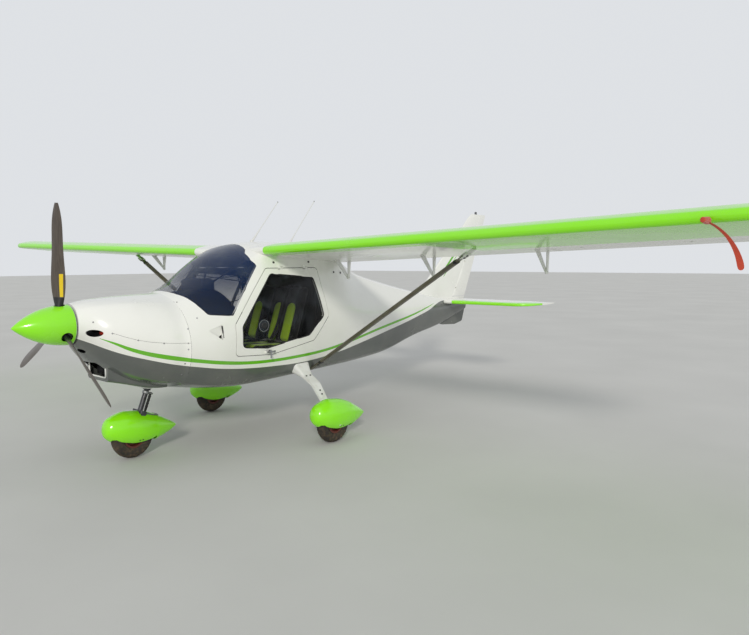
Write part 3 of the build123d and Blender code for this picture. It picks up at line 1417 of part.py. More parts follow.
with BuildPart() as roof_aerials:
    for foot, tip, tip_z in AERIALS:
        foot_z = roof_z(foot)
        rod = Vector(0, tip - foot, tip_z - foot_z)
        with BuildSketch(Plane.XY.offset(foot_z - AERIAL_FOOT_HEIGHT)):
            with Locations((0, at(foot))):
                Circle(AERIAL_FOOT_RADIUS)
        extrude(amount=2 * AERIAL_FOOT_HEIGHT)
        with BuildSketch(Plane(origin=(0, at(foot), foot_z), x_dir=(1, 0, 0), z_dir=rod)):
            Circle(AERIAL_RADIUS)
        extrude(amount=rod.length)
    add(BODY, mode=Mode.SUBTRACT)
save(roof_aerials.part, "roof_aerials")

with BuildPart() as beacon:
    with BuildSketch(Plane.XY.offset(FIN_ROWS[-1][0])):
        with Locations((0, at(BEACON_STATION))):
            Circle(BEACON_RADIUS)
    extrude(amount=BEACON_HEIGHT)
    fillet(beacon.faces().sort_by(Axis.Z)[-1].edges(), BEACON_CORNER)
save(beacon.part, "beacon")

PITOT_PLANE = wing_plane(PITOT_X)
PITOT_START = PITOT_PLANE.origin + Vector(0, PITOT_BACK, -PITOT_DROP)
with BuildPart() as pitot_left:
    with BuildSketch(Plane(origin=PITOT_START, x_dir=(1, 0, 0), z_dir=(0, -1, 0))):
        Circle(PITOT_RADIUS)
    extrude(amount=PITOT_LENGTH + PITOT_BACK)
    add(wing_form.part, mode=Mode.SUBTRACT)
    pitot_pieces = pitot_left.solids().sort_by(Axis.Y)
    for scrap in pitot_pieces[1:]:
        add(scrap, mode=Mode.SUBTRACT)
save(pitot_left.part, "pitot")

COVER_END = PITOT_START.Y - PITOT_BACK - PITOT_LENGTH - COVER_WALL
with BuildPart() as pitot_cover:
    with BuildSketch(Plane(origin=(PITOT_X, COVER_END + COVER_LENGTH, PITOT_START.Z), x_dir=(1, 0, 0), z_dir=(0, -1, 0))):
        Circle(COVER_RADIUS)
    extrude(amount=COVER_LENGTH)
    with Locations((PITOT_X + COVER_RADIUS + 30, COVER_END + COVER_LENGTH / 2, PITOT_START.Z)):
        Box(2 * COVER_RADIUS + 60, STREAMER_WIDTH, STREAMER_THICKNESS)
    with Locations((PITOT_X + 2 * COVER_RADIUS + 60, COVER_END + COVER_LENGTH / 2, PITOT_START.Z - STREAMER_LENGTH / 2)):
        Box(STREAMER_THICKNESS, STREAMER_WIDTH, STREAMER_LENGTH)
    add(pitot_left.part, mode=Mode.SUBTRACT)
save(pitot_cover.part, "pitot_cover")
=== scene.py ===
# %% [markdown]
# # Dressing a two-seat high-wing aircraft
#
# The aircraft's shell comes from a CAD model: every panel, wheel and control surface is already at
# its real size, in metres, with the nose towards -Y and the left wing towards +X. This notebook
# loads it, sets the camera and the light, and then adds finishes and the small pieces that make it
# look like the real machine. Nothing here moves a CAD piece.

import json
import math
from contextlib import contextmanager

import bmesh
import bpy
from mathutils import Matrix, Vector
from mathutils.bvhtree import BVHTree


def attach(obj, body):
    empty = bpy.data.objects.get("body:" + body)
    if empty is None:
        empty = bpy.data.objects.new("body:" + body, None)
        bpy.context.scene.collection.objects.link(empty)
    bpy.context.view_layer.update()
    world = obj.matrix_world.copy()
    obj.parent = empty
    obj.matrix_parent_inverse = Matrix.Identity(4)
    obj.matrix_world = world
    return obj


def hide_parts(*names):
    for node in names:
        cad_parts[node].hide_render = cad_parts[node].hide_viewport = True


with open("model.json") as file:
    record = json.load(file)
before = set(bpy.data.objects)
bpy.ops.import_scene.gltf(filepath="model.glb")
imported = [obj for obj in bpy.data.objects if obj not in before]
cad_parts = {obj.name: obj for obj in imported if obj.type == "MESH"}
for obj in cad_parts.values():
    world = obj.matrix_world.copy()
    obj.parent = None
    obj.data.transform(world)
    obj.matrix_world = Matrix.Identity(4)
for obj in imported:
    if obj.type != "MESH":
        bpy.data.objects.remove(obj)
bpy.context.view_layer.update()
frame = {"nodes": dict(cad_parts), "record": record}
nodes = frame["nodes"]
NOSE_Y = -3.0275  # the spinner's tip; stations are metres aft of it
X_WAY, Y_WAY, Z_WAY = Vector((1, 0, 0)), Vector((0, 1, 0)), Vector((0, 0, 1))
print("pieces from CAD:", len(nodes))


def at(station):
    """Y of a station."""
    return NOSE_Y + station


def circle(count):
    """Cosine and sine of each of some even turns."""
    return [(math.cos(k * 2 * math.pi / count), math.sin(k * 2 * math.pi / count)) for k in range(count)]


def axes_along(*ways):
    """Matrix whose X, Y and Z axes are three ways."""
    return Matrix(ways).transposed().to_4x4()


# %% [markdown]
# ## The camera
#
# The photographer stood off the left wing, ahead of it, and looked almost level. A camera is three
# directions and a place: it looks along its own -Z, with X to the right and Y up, so those three
# directions are the columns of its matrix.

# %% Camera
CAMERA_YAW = math.radians(41.42)
CAMERA_PITCH = math.radians(-6.475)
CAMERA_ROLL = math.radians(-0.23)
CAMERA_PLACE = Vector((4.793, at(-1.663), 1.547))
SENSOR_WIDTH = 36.0
LENS = 31.15
SHIFT_Y = 0.0238
FARTHEST = 300

look = Vector((
    -math.sin(CAMERA_YAW) * math.cos(CAMERA_PITCH),
    math.cos(CAMERA_YAW) * math.cos(CAMERA_PITCH),
    math.sin(CAMERA_PITCH),
))
level_right = Vector((math.cos(CAMERA_YAW), math.sin(CAMERA_YAW), 0))
level_up = level_right.cross(look)
camera_right = level_right * math.cos(CAMERA_ROLL) + level_up * math.sin(CAMERA_ROLL)
camera_up = level_up * math.cos(CAMERA_ROLL) - level_right * math.sin(CAMERA_ROLL)
bpy.ops.object.camera_add()
camera = bpy.context.object
camera.name = "viewpoint"
camera.matrix_world = Matrix.Translation(CAMERA_PLACE) @ axes_along(camera_right, camera_up, -look)
camera.data.sensor_width = SENSOR_WIDTH
camera.data.lens = LENS
camera.data.shift_y = SHIFT_Y
camera.data.clip_end = FARTHEST
bpy.context.scene.camera = camera

# %% [markdown]
# ## Tools used all through
#
# Colours are written as the hex codes of a paint chart, and one function turns them to the linear
# values that Blender works in. Another adds a node with its settings and its links. The rest start a
# primitive with nothing else selected, choose faces by their place, and finish a piece: its
# transform goes into its mesh, it gets its material, and it is tied to the body that carries it.

# %% Helpers for materials
scene = bpy.context.scene
scene.view_settings.view_transform = "Standard"
tree = None  # the node tree that is being built; every helper works on it


def colour(code):
    """Linear RGBA of an sRGB hex code."""
    parts = [int(code[k:k + 2], 16) / 255 for k in (0, 2, 4)]
    return [p / 12.92 if p <= 0.04045 else ((p + 0.055) / 1.055) ** 2.4 for p in parts] + [1.0]


def add(kind, sockets=(), **settings):
    """A node of one kind, with its settings, and its sockets filled with values or links."""
    node = tree.nodes.new("ShaderNode" + kind)
    for name, value in settings.items():
        setattr(node, name, value)
    for key, value in dict(sockets).items():
        if isinstance(value, bpy.types.NodeSocket):
            tree.links.new(value, node.inputs[key])
        else:
            node.inputs[key].default_value = value
    return node


def start_material(name, roughness, metallic=0.0):
    """A new material, whose tree is built next, with its shader and the place on the piece, in metres."""
    global tree
    material = bpy.data.materials.new(name)
    material.use_nodes = True
    tree = material.node_tree
    shader = tree.nodes["Principled BSDF"]
    shader.inputs["Roughness"].default_value = roughness
    shader.inputs["Metallic"].default_value = metallic
    return material, shader, add("TexCoord").outputs["Object"]


def feed(shader, socket, output):
    """Link an output to one of the shader's sockets."""
    tree.links.new(output, shader.inputs[socket])


def blend(share, first, second):
    """Output that goes from the first colour or hex code to the second as share goes from 0 to 1."""
    first, second = (colour(end) if isinstance(end, str) else end for end in (first, second))
    return add("Mix", {"Factor": share, 6: first, 7: second}, data_type="RGBA").outputs[2]


def ranged(value, low, high, to_low=0.0, to_high=1.0):
    """Output that goes from one end to the other as the value goes from low to high."""
    sockets = {"Value": value, "From Min": low, "From Max": high, "To Min": to_low, "To Max": to_high}
    return add("MapRange", sockets).outputs["Result"]


def noise(place, scale, detail):
    """Smooth noise with lumps of 1/scale metres."""
    return add("TexNoise", {"Vector": place, "Scale": scale, "Detail": detail}).outputs["Fac"]


def grime(place, scale, low, high, detail=5.0):
    """Uneven 0 to 1 cover, such as dust or wear, with patches of 1/scale metres."""
    return ranged(noise(place, scale, detail), low, high)


def stretched(place, scale):
    """The place with each axis scaled."""
    return add("Mapping", {"Vector": place, "Scale": scale}).outputs["Vector"]


def split(place):
    """The x, y and z of a place."""
    return list(add("SeparateXYZ", {"Vector": place}).outputs)


def bumped(shader, height, distance, strength):
    """Feed a height to the shader's normal."""
    bump = add("Bump", {"Height": height, "Distance": distance, "Strength": strength})
    feed(shader, "Normal", bump.outputs["Normal"])


def maths(operation, first, second=0.0, clamp=False):
    """Output of one sum."""
    return add("Math", {0: first, 1: second}, operation=operation, use_clamp=clamp).outputs[0]


def minus(first, second):
    """The first value less the second."""
    return maths("SUBTRACT", first, second)


def times(first, second):
    """The product of two values."""
    return maths("MULTIPLY", first, second)


def absolute(value):
    """A value without its sign."""
    return maths("ABSOLUTE", value)


def distance_of(first, second):
    """The long side over two square offsets."""
    return maths("SQRT", maths("ADD", times(first, first), times(second, second)))


def run_along(place, way, origin):
    """How far a place lies along a way from an origin."""
    reach = add("VectorMath", {0: place, 1: way}, operation="DOT_PRODUCT").outputs["Value"]
    return minus(reach, origin.dot(way))


TAPE_EDGE = 0.0008  # how soft masking tape leaves an edge


def above(value, limit, softness=TAPE_EDGE):
    """1 where the value is above the limit, 0 below it."""
    gap = maths("DIVIDE", minus(value, limit), softness)
    return maths("ADD", gap, 0.5, clamp=True)


def below(value, limit, softness=TAPE_EDGE):
    """1 where the value is below the limit, 0 above it."""
    return minus(1.0, above(value, limit, softness))


def between(value, low, high):
    """1 where the value is between two limits."""
    return times(above(value, low), below(value, high))


# %% Helpers for modelling
FLAT = 0.9  # a face looks along a way when its normal's share of it is above this
DISC = 8  # an inset cap of a cylinder has more corners than this
SIDES = ((1, "left"), (-1, "right"))


def start(primitive, **settings):
    """Add a primitive with nothing else selected, and return its object."""
    bpy.ops.object.select_all(action="DESELECT")
    getattr(bpy.ops.mesh, "primitive_" + primitive + "_add")(**settings)
    return bpy.context.object


def from_points(corners, edges, faces):
    """An object from its corners, and the edges or faces between them."""
    obj = start("plane", size=1)
    obj.data.clear_geometry()
    obj.data.from_pydata([tuple(corner) for corner in corners], edges, faces)
    return obj


def pick(obj):
    """Make one object the only one selected."""
    bpy.ops.object.select_all(action="DESELECT")
    obj.select_set(True)
    bpy.context.view_layer.objects.active = obj


def choose(obj, kind, test):
    """In edit mode, select the faces or edges whose middle passes the test."""
    mesh = bmesh.from_edit_mesh(obj.data)
    bpy.ops.mesh.select_all(action="DESELECT")
    for item in getattr(mesh, kind):
        middle = sum((corner.co for corner in item.verts), Vector()) / len(item.verts)
        item.select = bool(test(obj.matrix_world @ middle, item))
    if kind == "faces":
        mesh.select_flush(True)
    else:
        mesh.select_flush_mode()
    bmesh.update_edit_mesh(obj.data)


@contextmanager
def editing(obj, test=None, kind="faces"):
    """Edit mode with what passes the test selected, or else all of it, and object mode after."""
    pick(obj)
    bpy.ops.object.mode_set(mode="EDIT")
    if test:
        choose(obj, kind, test)
    else:
        bpy.ops.mesh.select_all(action="SELECT")
    yield
    bpy.ops.object.mode_set(mode="OBJECT")


def facing(way):
    """A test for faces that look along a way."""
    return lambda middle, face: face.normal.dot(way) > FLAT


def at_ends(middle, face):
    """A test for the two caps of an upright piece."""
    return abs(face.normal.z) > FLAT


def bevel(offset, segments=2):
    """Round the selected edges."""
    bpy.ops.mesh.bevel(offset=offset, segments=segments)


def step_in(inset, rise, way=Z_WAY):
    """Inset the selected faces and raise them along a way."""
    bpy.ops.mesh.inset(thickness=inset)
    bpy.ops.transform.translate(value=way * rise)


def settle(obj):
    """Put an object's place, turn and scale into its mesh."""
    pick(obj)
    bpy.ops.object.transform_apply(location=True, rotation=True, scale=True)


def disc(vertices, radius, depth, rounding=0.0, steps=()):
    """An upright disc, its top rounded or pushed into steps."""
    piece = start("cylinder", vertices=vertices, radius=radius, depth=depth)
    with editing(piece, facing(Z_WAY)):
        if rounding:
            bevel(rounding, 3)
        for inset, rise in steps:
            step_in(inset, rise)
    return piece


def cut_block(size, **place):
    """A block with its size in its mesh."""
    block = start("cube", size=1, scale=size, **place)
    settle(block)
    return block


def soft_block(size, offset, segments=2, **place):
    """A block with every edge rounded."""
    block = cut_block(size, **place)
    with editing(block):
        bevel(offset, segments)
    return block


def apply_modifier(obj, kind, **settings):
    """Add a modifier, set it and apply it."""
    pick(obj)
    modifier = obj.modifiers.new(kind.lower(), kind)
    for name, value in settings.items():
        setattr(modifier, name, value)
    bpy.ops.object.modifier_apply(modifier=modifier.name)


def thicken(obj, levels, thickness, offset):
    """Smooth a thin sheet and give it its thickness."""
    apply_modifier(obj, "SUBSURF", levels=levels, render_levels=levels)
    apply_modifier(obj, "SOLIDIFY", thickness=thickness, offset=offset)


def join(objects):
    """Join several objects into the first one."""
    pick(objects[0])
    for obj in objects[1:]:
        obj.select_set(True)
    bpy.ops.object.join()
    return objects[0]


def finish_piece(obj, name, material, body="airframe", angle=35):
    """Name a piece, settle it, smooth it, give it its finish and tie it to its body."""
    settle(obj)
    obj.name = name
    obj.data.name = name
    obj.data.materials.clear()
    obj.data.materials.append(material)
    bpy.ops.object.shade_smooth_by_angle(angle=math.radians(angle))
    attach(obj, body)
    return obj


def finish_pair(obj, name, material, body="airframe", angle=35):
    """Finish a left-hand piece, and a twin of it mirrored to the right."""
    left = finish_piece(obj, name + "_left", material, body, angle)
    twin = left.copy()
    twin.data = left.data.copy()
    twin.name = name + "_right"
    twin.data.name = twin.name
    twin.parent = None
    scene.collection.objects.link(twin)
    twin.data.transform(Matrix.Scale(-1, 4, X_WAY))
    twin.data.flip_normals()
    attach(twin, body.replace("left", "right"))


record = frame["record"]
BODY_OF_NODE = {node: body for body, names in record["behaviour"]["bodies"].items() for node in names}
SKIN_ANGLE = math.radians(28)
MERGE_DISTANCE = 0.00002


def smooth_copy(node_name, material):
    """A copy of a CAD node with its loose triangles merged, so that it shades as one smooth skin."""
    source = nodes[node_name]
    copy = source.copy()
    copy.data = source.data.copy()
    copy.name = node_name + "_skin"
    copy.data.name = copy.name
    copy.parent = None
    copy.matrix_world = Matrix.Identity(4)
    scene.collection.objects.link(copy)
    pick(copy)
    if copy.data.has_custom_normals:
        bpy.ops.mesh.customdata_custom_splitnormals_clear()
    mesh = bmesh.new()
    mesh.from_mesh(copy.data)
    bmesh.ops.remove_doubles(mesh, verts=mesh.verts, dist=MERGE_DISTANCE)
    mesh.to_mesh(copy.data)
    mesh.free()
    copy.data.materials.clear()
    copy.data.materials.append(material)
    bpy.ops.object.shade_smooth_by_angle(angle=SKIN_ANGLE)
    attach(copy, BODY_OF_NODE[node_name])
    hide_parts(node_name)


def dress(*finishes):
    """Smooth copies of CAD nodes, from each finish and the names of the nodes that get it."""
    for material, node_names in finishes:
        for node_name in node_names.split():
            smooth_copy(node_name, material)


def skin_of(*names):
    """The surface of some CAD nodes, to lay pieces on."""
    corners, faces = [], []
    for name in names:
        first = len(corners)
        corners += [tuple(vertex.co) for vertex in nodes[name].data.vertices]
        faces += [tuple(first + k for k in face.vertices) for face in nodes[name].data.polygons]
    return BVHTree.FromPolygons(corners, faces)


def hit(skin, place, way=-X_WAY):
    """Point and outward normal where a line from a place meets a skin."""
    return skin.ray_cast(Vector(place), way)[:2]


SIDE_SKIN = skin_of("cabin_shell", "door_left", "door_glass_left", "windscreen", "cowl_upper", "cowl_lower",
                    "tail_boom")
PAST_SIDE = 1.5


def on_side(station, z):
    """Point and outward normal of the left side at a station and height."""
    return hit(SIDE_SKIN, (PAST_SIDE, at(station), z))


# %% [markdown]
# ## Floor and light
#
# Paint colours only read true under plain light. A broad pale sky fills every side, one soft lamp
# from behind the camera's left shoulder stands for the low sun, and the floor is a pale studio
# floor that keeps the aircraft's shadow.

# %% Floor, sky and lamp
FLOOR_SIZE = 160
SKY_LIGHT, SKY_SEEN = 0.62, 0.86
SUN_ENERGY, SUN_WIDTH = 1.55, math.radians(8)
SUN_FROM = Vector((0.80, -0.86, 0.50))

floor = start("plane", size=FLOOR_SIZE, location=(0, 0, 0))
floor.name = "studio_floor"
floor_paint, shader, place = start_material("matt floor paint", 0.75)
feed(shader, "Base Color", blend(grime(place, 0.6, 0.35, 0.7), "cfcfcb", "d6d6d2"))
floor.data.materials.append(floor_paint)

world = bpy.data.worlds.new("studio sky")
scene.world = world
world.use_nodes = True
tree = world.node_tree
sky = tree.nodes["Background"]
rays = add("LightPath").outputs
seen = maths("MAXIMUM", rays["Is Camera Ray"], rays["Is Glossy Ray"])
feed(sky, "Strength", ranged(seen, 0.0, 1.0, SKY_LIGHT, SKY_SEEN))
sky.inputs["Color"].default_value = colour("eef1f5")

bpy.ops.object.light_add(type="SUN", location=(6, -8, 6))
sun = bpy.context.object
sun.name = "low_sun"
sun.data.energy = SUN_ENERGY
sun.data.angle = SUN_WIDTH
sun.data.color = colour("fffaf3")[:3]
sun.rotation_euler = (-SUN_FROM).to_track_quat("-Z", "Y").to_euler()

# %% [markdown]
# ## Gelcoat
#
# The body is moulded in glass fibre, and its colour is in the gelcoat: a thick, very smooth resin
# skin. It is glossy with a second clear reflection on top, and it waves very slightly where the
# cloth lies under it. The stripes follow smooth lines along the body, so each is drawn as a height
# that depends on the station, by a Float Curve node.

# %% Lines that the paint follows, as stations and heights
LINE_LENGTH = 6.1
LINE_HEIGHT = 2.3
STRIPE = ((0.49, 1.011, 1.009), (0.589, 0.971, 0.952), (0.656, 0.939, 0.913), (0.764, 0.899, 0.868),
          (0.862, 0.872, 0.838), (0.965, 0.847, 0.813), (1.164, 0.803, 0.773), (1.379, 0.766, 0.736),
          (1.623, 0.737, 0.709), (1.889, 0.726, 0.698), (2.175, 0.731, 0.703), (2.499, 0.748, 0.721),
          (2.761, 0.776, 0.749), (3.1, 0.813, 0.787), (3.4, 0.851, 0.825), (3.8, 0.897, 0.871),
          (4.15, 0.94, 0.918), (4.49, 0.995, 0.98), (4.75, 1.045, 1.043))  # station, top and low
GREY_TOP = ((0.38, 1.012), (0.448, 0.977), (0.516, 0.938), (0.594, 0.9), (0.679, 0.867), (0.769, 0.838),
            (0.868, 0.808), (0.974, 0.779), (1.175, 0.737), (1.391, 0.7), (1.635, 0.675), (1.903, 0.66),
            (2.2, 0.655), (2.6, 0.68), (3.0, 0.722), (3.4, 0.772), (3.711, 0.814), (4.025, 0.859), (4.352, 0.917),
            (4.627, 0.975), (4.8, 1.03), (4.95, 1.06), (5.6, 1.062))
STRIPE_START, STRIPE_END = 0.495, 4.74
WHITE = "f3f4ee"
GREEN = "92f40c"
STRIPE_GREEN = "66ba1e"
GREY = "5e625f"


def paint_line(station, points):
    """Height of a painted line at each station."""
    curve = add("FloatCurve", {"Value": maths("DIVIDE", station, LINE_LENGTH)})
    dots = curve.mapping.curves[0].points
    scaled = [(along / LINE_LENGTH, height / LINE_HEIGHT) for along, height in points]
    dots[0].location, dots[1].location = scaled[0], scaled[-1]
    for along, height in scaled[1:-1]:
        dots.new(along, height)
    curve.mapping.update()
    return times(curve.outputs["Value"], LINE_HEIGHT)


def gelcoat(name, paint):
    """Glossy gelcoat, coloured by a function of the place's x, y and z."""
    material, shader, place = start_material(name, 0.22)
    dust = grime(place, 3.5, 0.45, 0.85)
    feed(shader, "Base Color", blend(times(dust, 0.10), paint(*split(place)), "b9b3a4"))
    feed(shader, "Roughness", ranged(dust, 0.0, 1.0, 0.2, 0.34))
    shader.inputs["Coat Weight"].default_value = 0.5
    shader.inputs["Coat Roughness"].default_value = 0.06
    bumped(shader, noise(place, 5.0, 1.0), 0.004, 0.25)
    return material


def plain(code):
    """Paint of one colour."""
    return lambda x, y, z: code


def body_paint(x, y, z):
    """White above, a green stripe that widens and narrows, grey below."""
    station = minus(y, NOSE_Y)
    grey = below(z, paint_line(station, GREY_TOP))
    top, low = (paint_line(station, [(row[0], row[k]) for row in STRIPE]) for k in (1, 2))
    stripe = times(times(below(z, top), above(z, low)), between(station, STRIPE_START, STRIPE_END))
    return blend(stripe, blend(grey, WHITE, GREY), STRIPE_GREEN)


WING_GREEN_START = 0.50
WING_GREEN_END, TIP_GREEN_END, LOW_GREEN_END = 1.953, 2.08, 2.45
TAIL_GREEN_START = 0.19
TAIL_GREEN_END, TAIL_TIP_END = 5.07, 5.33


def wing_paint(x, y, z):
    """White with a green leading edge; below, outboard of the struts, the green reaches the hinges."""
    span = absolute(x)
    sweep = ranged(span, 4.6, 4.83, WING_GREEN_END, TIP_GREEN_END)
    flare = ranged(span, 2.08, 2.24, WING_GREEN_END, LOW_GREEN_END)
    up = split(add("NewGeometry").outputs["Normal"])[2]
    end = add("Mix", {"Factor": below(up, -0.3, 0.05), 2: sweep, 3: flare}).outputs[0]
    front = below(minus(y, NOSE_Y), end)
    return blend(times(front, above(span, WING_GREEN_START)), WHITE, GREEN)


def tail_paint(x, y, z):
    """White with a green leading edge that follows the rounded tip."""
    span = absolute(x)
    sweep = ranged(span, 1.05, 1.25, TAIL_GREEN_END, TAIL_TIP_END)
    front = below(minus(y, NOSE_Y), sweep)
    return blend(times(front, above(span, TAIL_GREEN_START)), WHITE, GREEN)


FIN_SLOPE = 1.124
FIN_FOOT_Z = 1.2
FIN_STRIPES = ((4.800, 0.045), (4.872, 0.014))  # station at the fin's foot, and width
STRIPES_FROM, STRIPES_TO = 1.36, 1.90


def fin_paint(x, y, z):
    """White with two green lines that run up the fin beside its leading edge."""
    rise = times(minus(z, FIN_FOOT_Z), FIN_SLOPE)
    along = minus(minus(y, NOSE_Y), rise)
    high = between(z, STRIPES_FROM, STRIPES_TO)
    painted = WHITE
    for middle, width in FIN_STRIPES:
        line = below(absolute(minus(along, middle)), width / 2)
        painted = blend(times(line, high), painted, STRIPE_GREEN)
    return painted


body_gelcoat = gelcoat("white grey and green gelcoat", body_paint)
wing_gelcoat = gelcoat("white gelcoat with green leading edge", wing_paint)
tail_gelcoat = gelcoat("white gelcoat with green tail edge", tail_paint)
fin_gelcoat = gelcoat("white gelcoat with green fin lines", fin_paint)
green_gelcoat = gelcoat("lime green gelcoat", plain(GREEN))
grey_gelcoat = gelcoat("silver grey gelcoat", plain(GREY))
white_gelcoat = gelcoat("plain white gelcoat", plain(WHITE))

# %% Skins of the body, wings and tail
dress(
    (body_gelcoat, "cabin_shell cowl_upper cowl_lower tail_boom door_left door_right"),
    (wing_gelcoat, "wing_left wing_right flap_left flap_right aileron_left aileron_right"),
    (tail_gelcoat, "tailplane elevator"), (fin_gelcoat, "fin rudder"),
    (green_gelcoat, "main_spats nose_spat spinner"), (grey_gelcoat, "ventral_fin"),
)

# %% [markdown]
# ## Finishes for glass, metal, rubber and cloth
#
# Every other piece gets the finish of what it is made of. Acrylic sheet is smooth. The windscreen is tinted blue, the
# door windows get a near-black colour that paints the shade of the cabin behind them, and both grow darker towards
# the roof. Painted and bare metal differ in their sheen. Rubber is dull, and dried mud lies on it where it meets the
# ground. Cloth and carpet show their weave. Each pattern's scale comes from a real size, and what is finer than the
# picture can show is drawn a little coarser.

# %% Acrylic
def acrylic(name, tint_and_painted_shade, clear, dark, low, high):
    """Acrylic sheet coloured by a tint, which on the door windows is painted shade of the cabin: see-through below
    the low height, and darker up to the high one.
    """
    material, shader, place = start_material(name, 0.04)
    shade = ranged(split(place)[2], low, high, clear, dark)
    smear = grime(place, 7.0, 0.5, 0.95)
    feed(shader, "Alpha", maths("ADD", shade, times(smear, 0.03), clamp=True))
    feed(shader, "Base Color", blend(smear, tint_and_painted_shade, "5a6570"))
    shader.inputs["IOR"].default_value = 1.49
    return material


screen_acrylic = acrylic("blue tinted acrylic", "0a2c58", 0.10, 0.72, 1.24, 1.64)
# door windows: a near-black colour painted as the shade of the cabin seen through them
window_acrylic_painted_shade = acrylic("smoked acrylic", "080b10", 0.14, 0.42, 0.95, 1.42)
clear_plastic = acrylic("clear acrylic vent", "2c343b", 0.50, 0.60, 0.9, 1.1)


# %% Painted and bare metal
def painted_metal(name, code, worn, roughness=0.35, wear_scale=14.0):
    """Paint on metal: slight orange peel, and dirt in patches."""
    material, shader, place = start_material(name, roughness)
    dirt = grime(place, wear_scale, 0.5, 0.8)
    feed(shader, "Base Color", blend(times(dirt, 0.45), code, worn))
    bumped(shader, noise(place, 350.0, 1.0), 0.0004, 0.3)
    return material


def bare_metal(name, code, tarnish, roughness=0.3, grain=(900.0, 40.0, 900.0)):
    """Bare metal with fine scratches drawn along one way."""
    material, shader, place = start_material(name, roughness, 1.0)
    scratches = noise(stretched(place, grain), 1.0, 3.0)
    dull = grime(place, 20.0, 0.4, 0.8)
    feed(shader, "Base Color", blend(dull, code, tarnish))
    feed(shader, "Roughness", ranged(scratches, 0.0, 1.0, roughness - 0.08, roughness + 0.18))
    bumped(shader, scratches, 0.0002, 0.3)
    return material


white_metal = painted_metal("white enamel on metal", "e6e7e4", "b8b2a4")
black_metal = painted_metal("black powder coat", "17181a", "3a3835", 0.42)
dark_fittings = painted_metal("blackened steel bolts", "232427", "4b4339", 0.45, 60.0)
rim_paint = painted_metal("brick red wheel enamel", "5f2b22", "43372c", 0.55, 30.0)
steel = bare_metal("drawn steel tube", "a9abad", "77736c")
dark_steel = bare_metal("oiled steel tube", "5c5d60", "3c3a37", 0.38)
aluminium = bare_metal("brushed aluminium", "c4c6c8", "8f8e8a", 0.34)
engine_metal = bare_metal("cast engine metal", "6d6e70", "3c3b39", 0.5, (60.0, 60.0, 60.0))

# %% Strut paint: olive grey, white at the wing's fitting
STRUT_FOOT = Vector((0.480, at(2.385), 0.590))
STRUT_HEAD = Vector((2.250, at(2.220), 1.605))
STRUT_LENGTH = (STRUT_HEAD - STRUT_FOOT).length
STRUT_WAY = (STRUT_HEAD - STRUT_FOOT).normalized()
STRUT_TUBE_END = 0.110
STRUT_WHITE_END = 0.034

strut_paint, shader, place = start_material("olive grey anodised tube", 0.32, 0.35)
x, y, z = split(place)
left_place = add("CombineXYZ", {"X": absolute(x), "Y": y, "Z": z}).outputs["Vector"]
from_foot = run_along(left_place, STRUT_WAY, STRUT_FOOT)
olive = blend(grime(place, 9.0, 0.35, 0.75), "6d6a5c", "57503f")
feed(shader, "Base Color", blend(above(from_foot, STRUT_LENGTH - STRUT_WHITE_END), olive, "dcdcd6"))

# %% Propeller blades: dark composite with a cuff at the root and one plain yellow label
PROP_CENTRE_Z = 1.100
BLADE_CUFF = 0.205
LABEL_FROM, LABEL_TO = 1.305, 1.469
LABEL_Y, LABEL_HALF = at(0.337), 0.009

blade_composite, shader, place = start_material("dark blade composite", 0.36)
x, y, z = split(place)
fibres = noise(stretched(place, (160.0, 160.0, 9.0)), 1.0, 4.0)
weathered = blend(ranged(fibres, 0.35, 0.68), "473f38", "5c534a")
radius = distance_of(x, minus(z, PROP_CENTRE_Z))
cuffed = blend(above(radius, BLADE_CUFF, 0.004), "1b1b1d", weathered)
label = times(between(z, LABEL_FROM, LABEL_TO),
              below(absolute(minus(y, LABEL_Y)), LABEL_HALF))
feed(shader, "Base Color", blend(label, cuffed, "e8c71c"))
bumped(shader, fibres, 0.0004, 0.3)


# %% Plastics, rubber, carpet and cloth
def moulded_plastic(name, code, worn, roughness=0.5, grit=900.0):
    """Moulded plastic with a fine grained surface, rubbed paler in places."""
    material, shader, place = start_material(name, roughness)
    rubbed = grime(place, 12.0, 0.5, 0.85)
    feed(shader, "Base Color", blend(times(rubbed, 0.5), code, worn))
    grains = add("TexVoronoi", {"Vector": place, "Scale": grit})
    bumped(shader, grains.outputs["Distance"], 0.0003, 0.4)
    return material


def woven(name, code, shade, thread=0.004, roughness=0.9):
    """Cloth with threads both ways, drawn at one thread spacing in metres, and a soft sheen."""
    material, shader, place = start_material(name, roughness)
    laid = stretched(place, (1.0 / thread,) * 3)
    weave = add("TexChecker", {"Vector": laid, "Scale": 1.0}).outputs["Fac"]
    fade = times(grime(place, 8.0, 0.35, 0.8), 0.3)
    feed(shader, "Base Color", blend(fade, blend(weave, code, shade), shade))
    shader.inputs["Sheen Weight"].default_value = 0.35
    bumped(shader, weave, 0.0006, 0.4)
    return material


black_plastic = moulded_plastic("black ABS", "141517", "2c2d2f", 0.45)
glare_cover = moulded_plastic("blue black flocked cover", "141c2e", "1d2638", 0.85, 500.0)
rubber_seal = moulded_plastic("black rubber seal", "0f1011", "1e1f20", 0.62)
grey_panel = moulded_plastic("grey painted panel", "5a5d60", "6b6d6f", 0.55)
white_plastic = moulded_plastic("white acetal", "dedfdc", "c3c2bb", 0.4)
red_plastic = moulded_plastic("red polythene cap", "a8281c", "7a2018", 0.5)
carpet = woven("charcoal loop carpet", "26272a", "3a3b3e", 0.008)
lining_and_cabin_shade = woven("black lining cloth", "17181a", "101113", 0.012)
red_cloth = woven("red nylon cloth", "dc4f30", "b03a22", 0.003, 0.75)
belt_cloth = woven("black belt webbing", "17181a", "26272a", 0.003)

